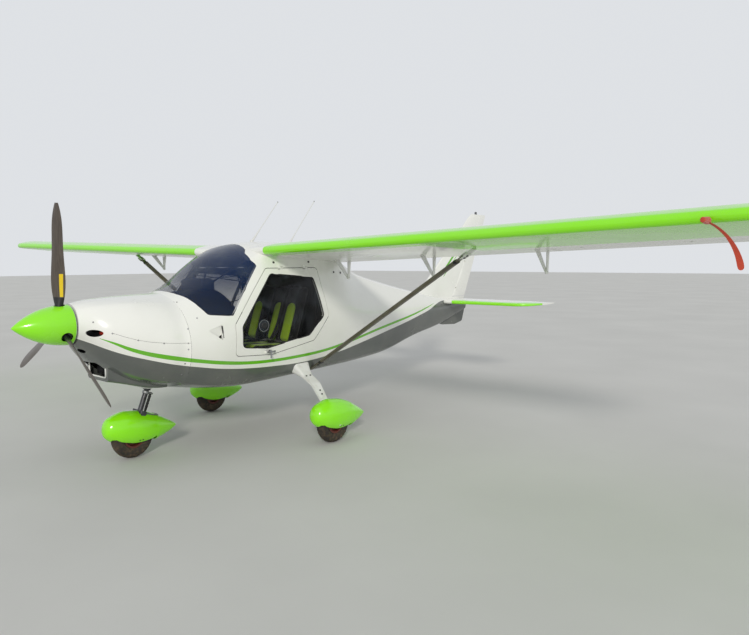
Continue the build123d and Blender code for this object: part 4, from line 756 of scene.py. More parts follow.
# %% Tyre rubber and the mud on it
tyre_rubber, shader, place = start_material("muddy tyre rubber", 0.85)
clods = grime(place, 34.0, 0.42, 0.62, 8.0)
film = grime(place, 11.0, 0.3, 0.7)
low = ranged(split(place)[2], 0.20, 0.02, 0.25, 1.0)
mud_share = maths("MULTIPLY", maths("MAXIMUM", clods, times(film, 0.6)), low, clamp=True)
feed(shader, "Base Color", blend(mud_share, "2a2825", blend(film, "4a3d2e", "6b5a45")))
bumped(shader, clods, 0.003, 0.8)

# %% Finishes on the rest of the CAD pieces
dress(
    (screen_acrylic, "windscreen"), (window_acrylic_painted_shade, "door_glass_left door_glass_right"), (aluminium, "prop_hub"),
    (blade_composite, "prop_blades"), (aluminium, "firewall"), (engine_metal, "engine_block"),
    (glare_cover, "instrument_panel"), (black_metal, "control_sticks"), (carpet, "cabin_floor seat_base"),
    (lining_and_cabin_shade, "rear_bulkhead"), (white_metal, "flap_brackets"), (strut_paint, "struts"), (white_metal, "main_legs"),
    (engine_metal, "nose_leg"), (dark_steel, "nose_fork"), (white_plastic, "roof_aerials"), (grey_panel, "beacon"),
    (aluminium, "pitot"), (rim_paint, "main_rim_left main_rim_right nose_rim"),
    (tyre_rubber, "main_tyre_left main_tyre_right nose_tyre"),
)

# %% The inside faces of the cabin, door and roof skins get the same black cloth, whose darkness also paints the shade inside the cabin
LINED_FROM, LINED_TO = at(1.12), at(2.56)
CABIN_AXIS_Z = 1.15
for skin_name in ("cabin_shell_skin", "door_left_skin", "door_right_skin", "cowl_upper_skin"):
    skin = bpy.data.objects[skin_name]
    skin.data.materials.append(lining_and_cabin_shade)
    # inward faces get the black cloth, dark as painted shade of the cabin inside
    for face in skin.data.polygons:
        inwards = face.center.x * face.normal.x + (face.center.z - CABIN_AXIS_Z) * face.normal.z < 0
        if inwards and LINED_FROM < face.center.y < LINED_TO and abs(face.normal.y) < FLAT:
            face.material_index = 1

# %% [markdown]
# ## Beads, bolts and mirrored pieces
#
# Rubber beads round the windows, tubes and straps all follow a line, so one function lays a line of
# points on the skin and another turns points into a tube. A bolt is modelled once and copied to each
# place, and a left-hand piece is mirrored for the right.

# %% Helpers for lines, tubes and copies
CORNER_STEPS = 5


def spaced(dots, spacing):
    """Points along straight stretches between dots, about one spacing apart."""
    line = []
    for first, last in zip(dots, dots[1:]):
        pieces = max(1, round((Vector(last) - Vector(first)).length / spacing))
        line += [Vector(first).lerp(Vector(last), step / pieces) for step in range(pieces)]
    return line + [Vector(dots[-1])]


def rounded_line(corners, radius, spacing=0.02):
    """Points along a closed outline whose corners are rounded."""
    dots = []
    for k, corner in enumerate(corners):
        here = Vector(corner)
        before, after = Vector(corners[k - 1]) - here, Vector(corners[(k + 1) % len(corners)]) - here
        half = before.angle(after) / 2
        reach = min(radius / math.tan(half), 0.45 * before.length, 0.45 * after.length)
        first, last = here + before.normalized() * reach, here + after.normalized() * reach
        for step in range(CORNER_STEPS + 1):
            t = step / CORNER_STEPS
            dots.append(first * (1 - t) ** 2 + here * 2 * t * (1 - t) + last * t * t)
    return spaced(dots + dots[:1], spacing)[:-1]


def laid_on_side(line, lift=0.0):
    """The points of a station and height line, laid on the left side of the body."""
    hits = [on_side(station, z) for station, z in line]
    return [point + normal * lift for point, normal in hits if point is not None]


TUBE_ANGLE = 60


def tube(points, radius, closed=False):
    """A round tube or bead along points, bent smoothly between them."""
    bpy.ops.object.select_all(action="DESELECT")
    bpy.ops.curve.primitive_nurbs_path_add()
    line = bpy.context.object.data
    line.splines.clear()
    spline = line.splines.new("NURBS")
    spline.points.add(len(points) - 1)
    for dot, point in zip(spline.points, points):
        dot.co = (*point, 1)
    spline.use_cyclic_u = closed
    spline.use_endpoint_u = not closed
    spline.order_u = 3
    spline.resolution_u = 4
    line.dimensions = "3D"
    line.bevel_depth = radius
    line.bevel_resolution = 3
    line.use_fill_caps = not closed
    bpy.ops.object.convert(target="MESH")
    return bpy.context.object


def turned_to(point, way, spin=0.0):
    """Matrix that puts a piece at a point with its Z along a way."""
    turn = Vector(way).to_track_quat("Z", "Y").to_matrix().to_4x4()
    return Matrix.Translation(point) @ turn @ Matrix.Rotation(spin, 4, "Z")


def rod_between(first, last, radius):
    """A plain round rod between two points."""
    rod = start("cylinder", vertices=24, radius=radius, depth=(last - first).length)
    with editing(rod, at_ends):
        bevel(radius * 0.2)
    rod.matrix_world = turned_to((first + last) / 2, last - first)
    return rod


def scatter(master, places, name, material, body="airframe"):
    """Copies of one small fastener at many places, joined into one."""
    copies = []
    for place in places:
        copy = master.copy()
        copy.data = master.data.copy()
        scene.collection.objects.link(copy)
        copy.matrix_world = place
        copies.append(copy)
    finish_piece(join(copies), name, material, body)


def both_sides(places):
    """Places on the left and their mirror images on the right."""
    flip = Matrix.Scale(-1, 4, X_WAY)
    return list(places) + [flip @ place @ flip for place in places]


def fasten(master, skin, spots, name, material, lift, scale=1.0, spin=0.0, from_x=PAST_SIDE, body="airframe"):
    """Copies of a fastener laid on a skin at stations and heights, on both sides."""
    hits = [hit(skin, (from_x, at(station), z)) for station, z in spots]
    places = [turned_to(point + normal * lift, normal, spin) @ Matrix.Scale(scale, 4) for point, normal in hits]
    scatter(master, both_sides(places), name, material, body)


# %% One countersunk screw and one hexagon bolt, to copy
SCREW_RADIUS = 0.0058
screw = disc(16, SCREW_RADIUS, 0.003, steps=((SCREW_RADIUS * 0.35, 0.0008), (SCREW_RADIUS * 0.25, -0.0014)))

BOLT_RADIUS = 0.010
WASHER_SHARE = 1.5
bolt = start("cylinder", vertices=6, radius=BOLT_RADIUS, depth=0.008)
with editing(bolt, at_ends):
    bevel(0.0012, 1)
    choose(bolt, "faces", facing(-Z_WAY))
    bpy.ops.mesh.extrude_region_move(TRANSFORM_OT_translate={"value": (0, 0, -0.0001)})
    bpy.ops.transform.resize(value=(WASHER_SHARE, WASHER_SHARE, 1))
    bpy.ops.mesh.extrude_region_move(TRANSFORM_OT_translate={"value": (0, 0, -0.0016)})

# %% [markdown]
# ## Windows and doors
#
# Each sheet of acrylic is bedded in black sealant, which shows as a dark line round it. The doors
# have a round vent that turns in the window, a T-shaped latch below it and a key lock behind that.
# The vent is a ring that is turned on a lathe, so here a disc is inset and pushed into steps.

# %% Black seals round the windscreen and the door windows
SCREEN_EDGE = ((1.137, 1.316), (1.174, 1.280), (1.268, 1.140), (1.466, 1.122), (1.750, 1.518), (1.722, 1.566),
               (1.746, 1.622), (1.830, 1.690))
WINDOW_EDGE = ((1.538, 0.858), (1.538, 1.030), (1.850, 1.452), (2.322, 1.412), (2.440, 1.064), (2.260, 0.900),
               (1.792, 0.830))
WINDOW_CORNER = 0.045
WINDOW_SEAL_RADIUS, SCREEN_SEAL_RADIUS = 0.0045, 0.0035

window_line = laid_on_side(rounded_line(WINDOW_EDGE, WINDOW_CORNER), -0.001)
finish_pair(tube(window_line, WINDOW_SEAL_RADIUS, closed=True), "window_seal", rubber_seal,
            "door_left", TUBE_ANGLE)
screen_line = laid_on_side(spaced(SCREEN_EDGE, 0.025), -0.002)
finish_pair(tube(screen_line, SCREEN_SEAL_RADIUS), "screen_seal", rubber_seal, angle=TUBE_ANGLE)

# %% Round vent in each door window
VENT_RADIUS, VENT_RIM_RADIUS, HUB_RADIUS = 0.056, 0.048, 0.026
VENT_STEPS = ((0.006, 0.003), (0.008, -0.004), (0.016, 0.0), (0.002, 0.005), (0.010, -0.002))  # inset and rise
vent_point, vent_normal = on_side(1.739, 1.025)


def on_vent(lift):
    """Matrix that puts a piece on the vent, lifted off the window."""
    return turned_to(vent_point + vent_normal * lift, vent_normal)


vent = start("cylinder", vertices=48, radius=VENT_RADIUS, depth=0.008)
with editing(vent):
    for inset, rise in VENT_STEPS:
        choose(vent, "faces", lambda middle, face: face.normal.z > FLAT and len(face.verts) > DISC)
        step_in(inset, rise)
vent.matrix_world = on_vent(0.002)
finish_pair(vent, "window_vent", clear_plastic, "door_left", 30)

rim_dots = [on_vent(0.006) @ Vector((VENT_RIM_RADIUS * x, VENT_RIM_RADIUS * y, 0)) for x, y in circle(24)]
finish_pair(tube(rim_dots, 0.0022, closed=True), "vent_rim", white_plastic, "door_left", TUBE_ANGLE)

hub = disc(32, HUB_RADIUS, 0.012, 0.003, ((0.006, -0.003),))
hub.matrix_world = on_vent(0.007)
finish_pair(hub, "vent_hub", black_plastic, "door_left", 30)

# %% Door latch: a cross handle on a round boss, with a key lock behind it
LATCH_BARS = ((0.086, 0.015, 0.0, 0.0), (0.062, 0.013, math.pi / 2, -0.024))  # length, width, turn, drop
latch_spot = on_side(1.803, 0.800)[0] + X_WAY * 0.014
boss = disc(32, 0.016, 0.014, 0.003)
boss.matrix_world = turned_to(latch_spot, X_WAY)
parts = [boss]
for length, width, turn_by, drop in LATCH_BARS:
    bar = soft_block((length, width, 0.010), 0.0042, 4)
    bar.matrix_world = Matrix.Translation(latch_spot + Vector((0.010, 0, drop))) @ axes_along(
        Y_WAY, Z_WAY, X_WAY) @ Matrix.Rotation(turn_by, 4, "Z")
    parts.append(bar)
lock = disc(24, 0.011, 0.006, steps=((0.004, -0.002),))
lock.matrix_world = turned_to(*on_side(1.874, 0.792))
finish_pair(join(parts + [lock]), "door_latch", steel, "door_left", 40)

# %% Screws round the cowl, and bolts beside the cabin's roof
COWL_SCREWS = ((0.470, 1.125), (0.564, 1.042), (0.716, 0.985), (0.889, 0.950), (1.071, 0.936), (1.070, 0.889),
               (1.085, 1.043), (1.176, 1.119), (1.105, 1.240), (1.054, 0.778), (1.050, 0.690))
CABIN_BOLTS = ((1.900, 1.545), (2.300, 1.548), (2.640, 1.452), (2.760, 1.445))
fasten(screw, SIDE_SKIN, COWL_SCREWS, "cowl_screws", steel, 0.0006)
fasten(bolt, SIDE_SKIN, CABIN_BOLTS, "cabin_bolts", dark_fittings, 0.002, spin=0.3)

# %% [markdown]
# ## Openings in the nose
#
# The cheek intakes are closed with red caps when the engine is cold, and the chin scoop holds the
# radiator: a grid of thin fins in front of a dark core. Fins are cheap to model as rows of one thin
# plate, and they catch the light as the real ones do.

# %% Radiator in the chin scoop
RADIATOR_Z = 0.752
core = soft_block((0.240, 0.030, 0.118), 0.004, location=(0, at(0.665), RADIATOR_Z))
finish_piece(core, "radiator_core", black_metal)
fins = [start("cube", size=1, scale=(0.0014, 0.012, 0.112), location=(-0.115 + k * 0.010, at(0.648), RADIATOR_Z))
        for k in range(24)]
fins += [start("cube", size=1, scale=(0.236, 0.010, 0.003), location=(0, at(0.649), 0.702 + k * 0.0143))
         for k in range(8)]
finish_piece(join(fins), "radiator_fins", engine_metal)

# %% Caps in the cheek intakes, and dark ducts behind the openings
CAP_FACE = at(0.525)
cap = start("uv_sphere", segments=32, ring_count=16, radius=1, scale=(0.040, 0.024, 0.018),
            location=(0.240, at(0.535), 1.043))
settle(cap)
with editing(cap, lambda middle, face: middle.y < CAP_FACE):
    bpy.ops.transform.resize(value=(1, 0.4, 1))
finish_pair(cap, "intake_cap", red_plastic)
for name, x, station, z, half_wide, half_high, length in (
    ("cheek_duct", 0.236, 0.60, 1.045, 0.052, 0.028, 0.12),
    ("chin_inlet_duct", 0.075, 0.50, 0.907, 0.046, 0.017, 0.08),
):
    duct = start("cylinder", vertices=40, radius=1, depth=length, end_fill_type="NOTHING",
                 rotation=(math.radians(90), 0, 0), location=(x, at(station), z))
    duct.scale = (half_wide, half_high, 1)
    settle(duct)
    rear = at(station + length / 2 - 0.002)
    with editing(duct, lambda middle, edge: middle.y > rear, "edges"):
        bpy.ops.mesh.edge_face_add()
    apply_modifier(duct, "SOLIDIFY", thickness=0.003, offset=1)
    if name == "cheek_duct":
        finish_pair(duct, name, black_plastic)
    else:
        finish_piece(duct, name + "_left", black_plastic)

# %% [markdown]
# ## Wheels
#
# The tyres are turned on a lathe too: a profile goes round the axle with the Spin operator. Three
# grooves run round the tread and short cuts cross its shoulders. Only their lower part shows under
# the spats, with dried mud on it. The wheels are dull red castings with bolts round the hub.

# %% Tyre profile, spun round its axle
WHEEL_RADIUS = 0.170
TYRE_PROFILE = (
    # across the tyre, out from the axle
    (-0.031, 0.079), (-0.038, 0.090), (-0.0455, 0.106), (-0.0495, 0.124), (-0.0485, 0.138), (-0.0440, 0.149),
    (-0.0385, 0.1560), (-0.0330, 0.1600), (-0.0245, 0.1640), (-0.0240, 0.1590), (-0.0195, 0.1590), (-0.0190, 0.1665),
    (-0.0060, 0.1690), (-0.0052, 0.1635), (0.0, 0.1635),
)
TREAD_STEPS = 96
CUT_EVERY, CUT_DEPTH = 3, 0.0045
CUTS_OUT, CUTS_FROM, CUTS_TO = 0.1545, 0.020, 0.040
RIM_BOLTS, BOLT_RING = 6, 0.047
AXLES = (
    ("main_tyre_left", Vector((0.896, at(2.203), WHEEL_RADIUS)), "main_wheel_left", "main_rim_left"),
    ("main_tyre_right", Vector((-0.896, at(2.203), WHEEL_RADIUS)), "main_wheel_right", "main_rim_right"),
    ("nose_tyre", Vector((0, at(0.839), WHEEL_RADIUS)), "nose_wheel", "nose_rim"),
)


def turned(profile, axle, steps):
    """A closed ring: a half profile and its mirror image, spun about an axle along X."""
    outline = list(profile) + [(-across, out) for across, out in reversed(profile[:-1])]
    edges = [(k, k + 1) for k in range(len(outline) - 1)]
    ring = from_points([(across, 0, out) for across, out in outline], edges, [])
    with editing(ring):
        bpy.ops.mesh.spin(steps=steps, angle=2 * math.pi, center=(0, 0, 0), axis=(1, 0, 0))
        bpy.ops.mesh.select_all(action="SELECT")
        bpy.ops.mesh.remove_doubles(threshold=0.0001)
        bpy.ops.mesh.normals_make_consistent(inside=False)
    ring.matrix_world = Matrix.Translation(axle)
    settle(ring)
    return ring


for node_name, axle, body, rim_name in AXLES:
    tread = turned(TYRE_PROFILE, axle, TREAD_STEPS)
    for vertex in tread.data.vertices:
        spoke = vertex.co - axle
        out = math.hypot(spoke.y, spoke.z)
        turn_step = round(math.atan2(spoke.z, spoke.y) / (2 * math.pi) * TREAD_STEPS)
        if out > CUTS_OUT and CUTS_FROM < abs(spoke.x) < CUTS_TO and turn_step % CUT_EVERY == 0:
            vertex.co.y -= spoke.y / out * CUT_DEPTH
            vertex.co.z -= spoke.z / out * CUT_DEPTH
    finish_piece(tread, node_name + "_tread", tyre_rubber, body, 32)
    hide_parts(node_name)
    places = []
    for side in (-1, 1):
        for y, z in circle(RIM_BOLTS):
            spot = axle + Vector((side * 0.0085, BOLT_RING * y, BOLT_RING * z))
            places.append(turned_to(spot, X_WAY * side) @ Matrix.Scale(0.7, 4))
    scatter(bolt, places, rim_name + "_bolts", dark_fittings, body)

# %% [markdown]
# ## Struts, legs and their fittings
#
# Each lift strut is a tube with a flat fitting at either end. At the wing the fitting sits between
# two white plates with dark bolts through them, and a clamp closes the tube. The nose leg is a steel
# tube with a rubber-sleeved damper behind it and a wire loop for the tow bar.

# %% Plates, bolts and clamps at the strut ends
strut_aft = (Y_WAY - STRUT_WAY * STRUT_WAY.y).normalized()
strut_out = STRUT_WAY.cross(strut_aft)
HEAD_PLATE = (0.062, 0.005, 0.066)
STRUT_BOLTS = ((STRUT_LENGTH - 0.048, 0.0125, 0.95), (STRUT_LENGTH - 0.018, 0.0125, 0.95),
               (0.062, 0.0085, 0.95), (0.090, 0.0085, 0.8))  # distance up the strut, offset, scale


def strut_frame(distance, out=0.0):
    """Matrix with X aft, Y out of the flat fitting and Z up the strut, at a distance from its foot."""
    spot = STRUT_FOOT + STRUT_WAY * distance + strut_out * out
    return Matrix.Translation(spot) @ axes_along(strut_aft, strut_out, STRUT_WAY)


plates = []
for out in (-0.009, 0.009):
    plate = cut_block(HEAD_PLATE)
    with editing(plate, lambda middle, edge: abs(middle.x) > 0.03 and abs(middle.z) > 0.03, "edges"):
        bevel(0.020, 5)
    plate.matrix_world = strut_frame(STRUT_LENGTH - 0.032, out)
    plates.append(plate)
finish_pair(join(plates), "strut_head_plates", white_metal, angle=30)

places = [turned_to(strut_frame(distance, side * out).translation, strut_out * side) @ Matrix.Scale(scale, 4)
          for distance, out, scale in STRUT_BOLTS for side in (-1, 1)]
scatter(bolt, both_sides(places), "strut_bolts", dark_fittings)

clamps = []
for distance in (STRUT_TUBE_END + 0.014, STRUT_LENGTH - STRUT_TUBE_END - 0.014):
    clamp = start("cylinder", vertices=40, radius=1, depth=0.026)
    clamp.scale = (0.0305, 0.0165, 1)
    settle(clamp)
    with editing(clamp, at_ends):
        bevel(0.003)
    clamp.matrix_world = strut_frame(distance)
    clamps.append(clamp)
finish_pair(join(clamps), "strut_clamps", black_metal, angle=30)

# %% Bolts on the main legs
LEG_BOLTS = ((2.203, 0.432), (2.203, 0.402), (2.180, 0.545), (2.226, 0.545))
fasten(bolt, skin_of("main_legs"), LEG_BOLTS, "leg_bolts", dark_fittings, 0.003, 0.8, from_x=1.3)

# %% Damper, collar and tow loop on the nose leg
STEER_FOOT = Vector((0, at(0.839), WHEEL_RADIUS))
STEER_LEAN = math.radians(21.9)
STEER_WAY = Vector((0, math.sin(STEER_LEAN), math.cos(STEER_LEAN)))
STEER_AFT = Vector((0, math.cos(STEER_LEAN), -math.sin(STEER_LEAN)))
DAMPER_AFT = 0.044
DAMPER_RINGS, RING_STEP, RING_HEIGHT = 8, 0.014, 0.010
TOW_LOOP = ((-0.055, 0.200, 0.010), (-0.062, 0.205, 0.070), (-0.050, 0.215, 0.140), (0.0, 0.218, 0.165),
            (0.050, 0.215, 0.140), (0.062, 0.205, 0.070), (0.055, 0.200, 0.010))  # x, up and aft


def on_steerer(distance, aft=0.0, x=0.0):
    """Point at a distance up the steering tube from the axle."""
    return STEER_FOOT + STEER_WAY * distance + STEER_AFT * aft + X_WAY * x


rings = []
for k in range(DAMPER_RINGS):
    low = 0.236 + RING_STEP * k
    rings.append(rod_between(on_steerer(low, DAMPER_AFT), on_steerer(low + RING_HEIGHT, DAMPER_AFT),
                             0.0125 if k % 2 else 0.0105))
rings.append(rod_between(on_steerer(0.205, DAMPER_AFT), on_steerer(0.375, DAMPER_AFT), 0.010))
finish_piece(join(rings), "nose_damper", rubber_seal, "nose_steer", 40)
collar = rod_between(on_steerer(0.352), on_steerer(0.376), 0.029)
lug_plate = soft_block((0.030, 0.046, 0.012), 0.004)
lug_plate.matrix_world = Matrix.Translation(on_steerer(0.366, 0.036)) @ axes_along(X_WAY, STEER_AFT, STEER_WAY)
finish_piece(join([collar, lug_plate]), "nose_damper_collar", steel, "nose_steer")
finish_piece(tube([on_steerer(up, aft, x) for x, up, aft in TOW_LOOP], 0.004), "tow_loop", steel,
             "nose_steer", TUBE_ANGLE)
places = [turned_to(on_steerer(up, 0.0, side * 0.072), X_WAY * side) @ Matrix.Scale(scale, 4)
          for up, scale in ((0.020, 1.0), (0.150, 0.8)) for side in (-1, 1)]
scatter(bolt, places, "fork_bolts", dark_fittings, "nose_steer")

# %% [markdown]
# ## The cabin inside
#
# Through the windows one sees two bucket seats in black cloth with lime panels, the black steel
# frame that carries the wing, and the dash. The seats are stuffed, so each pad is a block that is
# remeshed fine, blown up a little by Blender's cloth with pressure, and then pulled in along its
# seams. The panels' seams come last, because remeshing would smooth them away.

# %% Seat cloth: black, with two lime panels down each pad
SEAT_X = 0.235
PANEL_OFFSET = 0.088
PANEL_HALF = 0.056
BACK_LEAN = math.radians(18.8)
BACK_UP = Vector((0, math.sin(BACK_LEAN), math.cos(BACK_LEAN)))
BACK_REAR = Vector((0, math.cos(BACK_LEAN), -math.sin(BACK_LEAN)))
BACK_MIDDLE = Vector((0, at(2.281), 1.066))
BASE_UP = Vector((0, 0.999, -0.049))
BASE_MIDDLE = Vector((0, at(1.952), 0.786))
BACK_REACH, BASE_REACH = (0.045, -0.215), (0.125, -0.185)  # how far the panels run from the middle


def seat_cloth(name, middle, up, reach):
    """Black knitted cloth with lime panels whose ends are round, and stitching beside them."""
    material, shader, place = start_material(name, 0.88)
    from_seat = absolute(minus(absolute(split(place)[0]), SEAT_X))
    along = run_along(place, up, middle)
    past_top = maths("MAXIMUM", minus(along, reach[0]), 0.0)
    past_end = maths("MAXIMUM", minus(reach[1], along), 0.0)
    away = distance_of(minus(from_seat, PANEL_OFFSET), maths("ADD", past_top, past_end))
    worn = grime(place, 10.0, 0.4, 0.8)
    cloth = blend(below(away, PANEL_HALF, 0.0015),
                  blend(worn, "0e0f10", "1a1b1d"), blend(worn, "bde636", "a6cf2a"))
    seam = below(absolute(minus(away, PANEL_HALF - 0.006)), 0.0012)
    wave = add("TexWave", {"Vector": place, "Scale": 40.0}, bands_direction="Z").outputs["Fac"]
    stitch = times(seam, above(wave, 0.4, 0.1))
    feed(shader, "Base Color", blend(stitch, cloth, "2b2d20"))
    shader.inputs["Sheen Weight"].default_value = 0.3
    knit = add("TexVoronoi", {"Vector": place, "Scale": 330.0}).outputs["Distance"]
    bumped(shader, knit, 0.0008, 0.5)
    return material


back_cloth = seat_cloth("black and lime seat back cloth", BACK_MIDDLE, BACK_UP, BACK_REACH)
base_cloth = seat_cloth("black and lime seat base cloth", BASE_MIDDLE, BASE_UP, BASE_REACH)

# %% Four stuffed pads
BACK_SIZE, BASE_SIZE = (0.392, 0.072, 0.545), (0.392, 0.064, 0.420)
VOXEL = 0.008
PUFF_FRAMES = 16
PUFF_PRESSURE = 4.0
PUFF_CAP = 0.014
SEAM_DEPTH, SEAM_WIDTH = 0.007, 0.007
FOLD_DEPTH, FOLD_WIDTH = 0.006, 0.012


def puff(pad):
    """Blow a pad up with cloth pressure, and hold how far each point may move."""
    before = [vertex.co.copy() for vertex in pad.data.vertices]
    pick(pad)
    cloth = pad.modifiers.new("cloth", "CLOTH")
    cloth.settings.use_pressure = True
    cloth.settings.uniform_pressure_force = PUFF_PRESSURE
    cloth.settings.effector_weights.gravity = 0
    cloth.settings.quality = 4
    cloth.point_cache.frame_start = 1
    cloth.point_cache.frame_end = PUFF_FRAMES
    for number in range(1, PUFF_FRAMES + 1):
        scene.frame_set(number)
    bpy.ops.object.modifier_apply(modifier=cloth.name)
    scene.frame_set(1)
    for vertex, start_place in zip(pad.data.vertices, before):
        moved = vertex.co - start_place
        if moved.length > PUFF_CAP:
            vertex.co = start_place + moved.normalized() * PUFF_CAP


def pad(name, size, middle, up, face_way, reach, material):
    """One pad of a seat: a rounded block, puffed, with its panels' seams and its middle fold pulled in."""
    block = soft_block(size, 0.022, 3)
    block.matrix_world = Matrix.Translation(middle) @ axes_along(X_WAY, X_WAY.cross(up), up)
    settle(block)
    apply_modifier(block, "REMESH", mode="VOXEL", voxel_size=VOXEL)
    puff(block)
    for vertex in block.data.vertices:
        spot = vertex.co - middle
        along = spot.dot(up)
        past = max(along - reach[0], 0) + max(reach[1] - along, 0)
        away = math.hypot(abs(spot.x) - PANEL_OFFSET, past)
        if spot.dot(face_way) > 0:
            seam = SEAM_DEPTH * math.exp(-((away - PANEL_HALF) / SEAM_WIDTH) ** 2)
            vertex.co -= face_way * (seam + FOLD_DEPTH * math.exp(-(spot.x / FOLD_WIDTH) ** 2))
    apply_modifier(block, "SUBSURF", levels=1, render_levels=1)
    finish_piece(block, name, material, angle=60)
    return block


for side, side_name in SIDES:
    offset = X_WAY * side * SEAT_X
    back_pad = pad("seat_back_" + side_name, BACK_SIZE, BACK_MIDDLE + offset, BACK_UP, -BACK_REAR, BACK_REACH,
                   back_cloth)
    pad("seat_base_pad_" + side_name, BASE_SIZE, BASE_MIDDLE + offset, BASE_UP, Z_WAY, BASE_REACH, base_cloth)
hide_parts("seats")

# %% Shells behind the seat backs, so that the pads sit in something
SHELL_SIZE = (0.404, 0.014, 0.560)
for side, side_name in SIDES:
    shell = cut_block(SHELL_SIZE)
    with editing(shell, lambda spot, edge: abs(spot.x) > 0.19 and abs(spot.z) > 0.2, "edges"):
        bevel(0.070, 8)
        choose(shell, "faces", lambda spot, face: abs(face.normal.y) > FLAT)
        bevel(0.004)
    spot = BACK_MIDDLE + X_WAY * side * SEAT_X + BACK_REAR * 0.046
    shell.matrix_world = Matrix.Translation(spot) @ axes_along(X_WAY, BACK_REAR, BACK_UP)
    finish_piece(shell, "seat_shell_" + side_name, black_plastic, angle=30)

# %% Belts: flat webbing over each seat, with a buckle
SHOULDER_LINE = (  # up the back, to its rear, share of the lane's spread, and the way the webbing faces
    (0.285, 0.060, 1.6, BACK_UP + BACK_REAR), (0.292, 0.010, 1.6, BACK_UP), (0.262, -0.048, 1.5, BACK_UP - BACK_REAR),
    (0.050, -0.060, 1.2, -BACK_REAR), (-0.150, -0.062, 0.9, -BACK_REAR),
)
BUCKLE_END, BUCKLE_WAY, BUCKLE_SHARE = Vector((0, at(2.075), 0.846)), Vector((0, -0.5, 1)), 0.4
LAP_LINE = ((-0.206, 2.150, 0.800), (-0.170, 2.110, 0.842), (-0.060, 2.075, 0.846), (0.060, 2.075, 0.846),
            (0.170, 2.110, 0.842), (0.206, 2.150, 0.800))
LAP_WAY = Vector((0, -0.25, 1))
LANE = 0.026
SHOULDER_WIDTH, LAP_WIDTH, BELT_THICKNESS = 0.030, 0.042, 0.003


def ribbon(points, acrosses):
    """A flat strip along points, with the half width across it at each."""
    corners = [corner for point, across in zip(points, acrosses) for corner in (point - across, point + across)]
    return from_points(corners, [], [(2 * k, 2 * k + 1, 2 * k + 3, 2 * k + 2) for k in range(len(points) - 1)])


def ahead_at(points, k):
    """The way along a line at one of its points."""
    return (points[min(k + 1, len(points) - 1)] - points[max(k - 1, 0)]).normalized()


def strap(name, points, width, face_ways):
    """Flat webbing through points, its width square to its face ways."""
    acrosses = [ahead_at(points, k).cross(way).normalized() * width / 2 for k, way in enumerate(face_ways)]
    band = ribbon(points, acrosses)
    thicken(band, 2, BELT_THICKNESS, 0)
    finish_piece(band, name, belt_cloth, angle=40)


for side, side_name in SIDES:
    seat_x = side * SEAT_X
    for lane, lane_name in ((-LANE, "inner"), (LANE, "outer")):
        points = [BACK_MIDDLE + BACK_UP * up + BACK_REAR * rear + X_WAY * (seat_x + lane * share)
                  for up, rear, share, way in SHOULDER_LINE]
        points.append(BUCKLE_END + X_WAY * (seat_x + lane * BUCKLE_SHARE))
        strap("shoulder_belt_" + lane_name + "_" + side_name, points, SHOULDER_WIDTH,
              [way for up, rear, share, way in SHOULDER_LINE] + [BUCKLE_WAY])
    lap = [Vector((seat_x + across, at(station), z)) for across, station, z in LAP_LINE]
    strap("lap_belt_" + side_name, lap, LAP_WIDTH, [LAP_WAY] * len(lap))
    buckle = soft_block((0.058, 0.050, 0.014), 0.005, 3, location=(seat_x, at(2.070), 0.853))
    with editing(buckle, facing(Z_WAY)):
        step_in(0.008, -0.002)
    finish_piece(buckle, "belt_buckle_" + side_name, steel, angle=30)

# %% Black steel frame: posts beside the windscreen, cross tubes under the roof
FRAME_RADIUS, BRACE_RADIUS = 0.013, 0.008
SIDE_FRAME = ((0.400, 1.500, 1.110), (0.392, 1.600, 1.300), (0.370, 1.740, 1.500), (0.350, 1.850, 1.610),
              (0.345, 2.100, 1.640), (0.345, 2.520, 1.620), (0.350, 2.548, 1.500), (0.360, 2.548, 0.640))
FRAME_RODS = (
    ("cabin_frame_cross_front", (-0.350, 1.850, 1.606), (0.350, 1.850, 1.606), FRAME_RADIUS),
    ("cabin_frame_cross_rear", (-0.350, 2.500, 1.620), (0.350, 2.500, 1.620), FRAME_RADIUS),
    ("screen_brace_right", (0.0, 1.540, 1.330), (-0.340, 1.850, 1.604), BRACE_RADIUS),
    ("screen_brace_left", (0.0, 1.540, 1.330), (0.340, 1.850, 1.604), BRACE_RADIUS),
)
side_line = [Vector((x, at(station), z)) for x, station, z in SIDE_FRAME]
finish_pair(tube(side_line, FRAME_RADIUS), "cabin_frame_side", black_metal, angle=TUBE_ANGLE)
for name, *ends, radius in FRAME_RODS:
    first, last = (Vector((x, at(station), z)) for x, station, z in ends)
    finish_piece(rod_between(first, last, radius), name, black_metal, angle=40)

# %% Instruments on the dash: round gauges with rings, and three screens
DASH_FACE, POD_FACE, POD_FROM = at(1.548), at(1.560), 1.3
GAUGES = ((-0.30, 1.205, 0.040), (-0.20, 1.215, 0.040), (-0.30, 1.110, 0.040), (-0.20, 1.110, 0.040),
          (0.20, 1.215, 0.040), (0.30, 1.205, 0.040), (0.20, 1.110, 0.030), (0.30, 1.110, 0.030), (0.0, 1.345, 0.032))
SCREENS = ((-0.06, 1.160, 0.100, 0.150), (0.07, 1.190, 0.110, 0.080), (0.07, 1.095, 0.110, 0.060))
TO_PILOT = (math.radians(-90), 0, 0)
gauge_face, shader, place = start_material("black gauge face", 0.25)
ticks = add("TexVoronoi", {"Vector": place, "Scale": 90.0}, feature="DISTANCE_TO_EDGE").outputs["Distance"]
feed(shader, "Base Color", blend(above(ticks, 0.06, 0.02), "8b8f90", "0c0d0f"))
rings, dials, screens = [], [], []
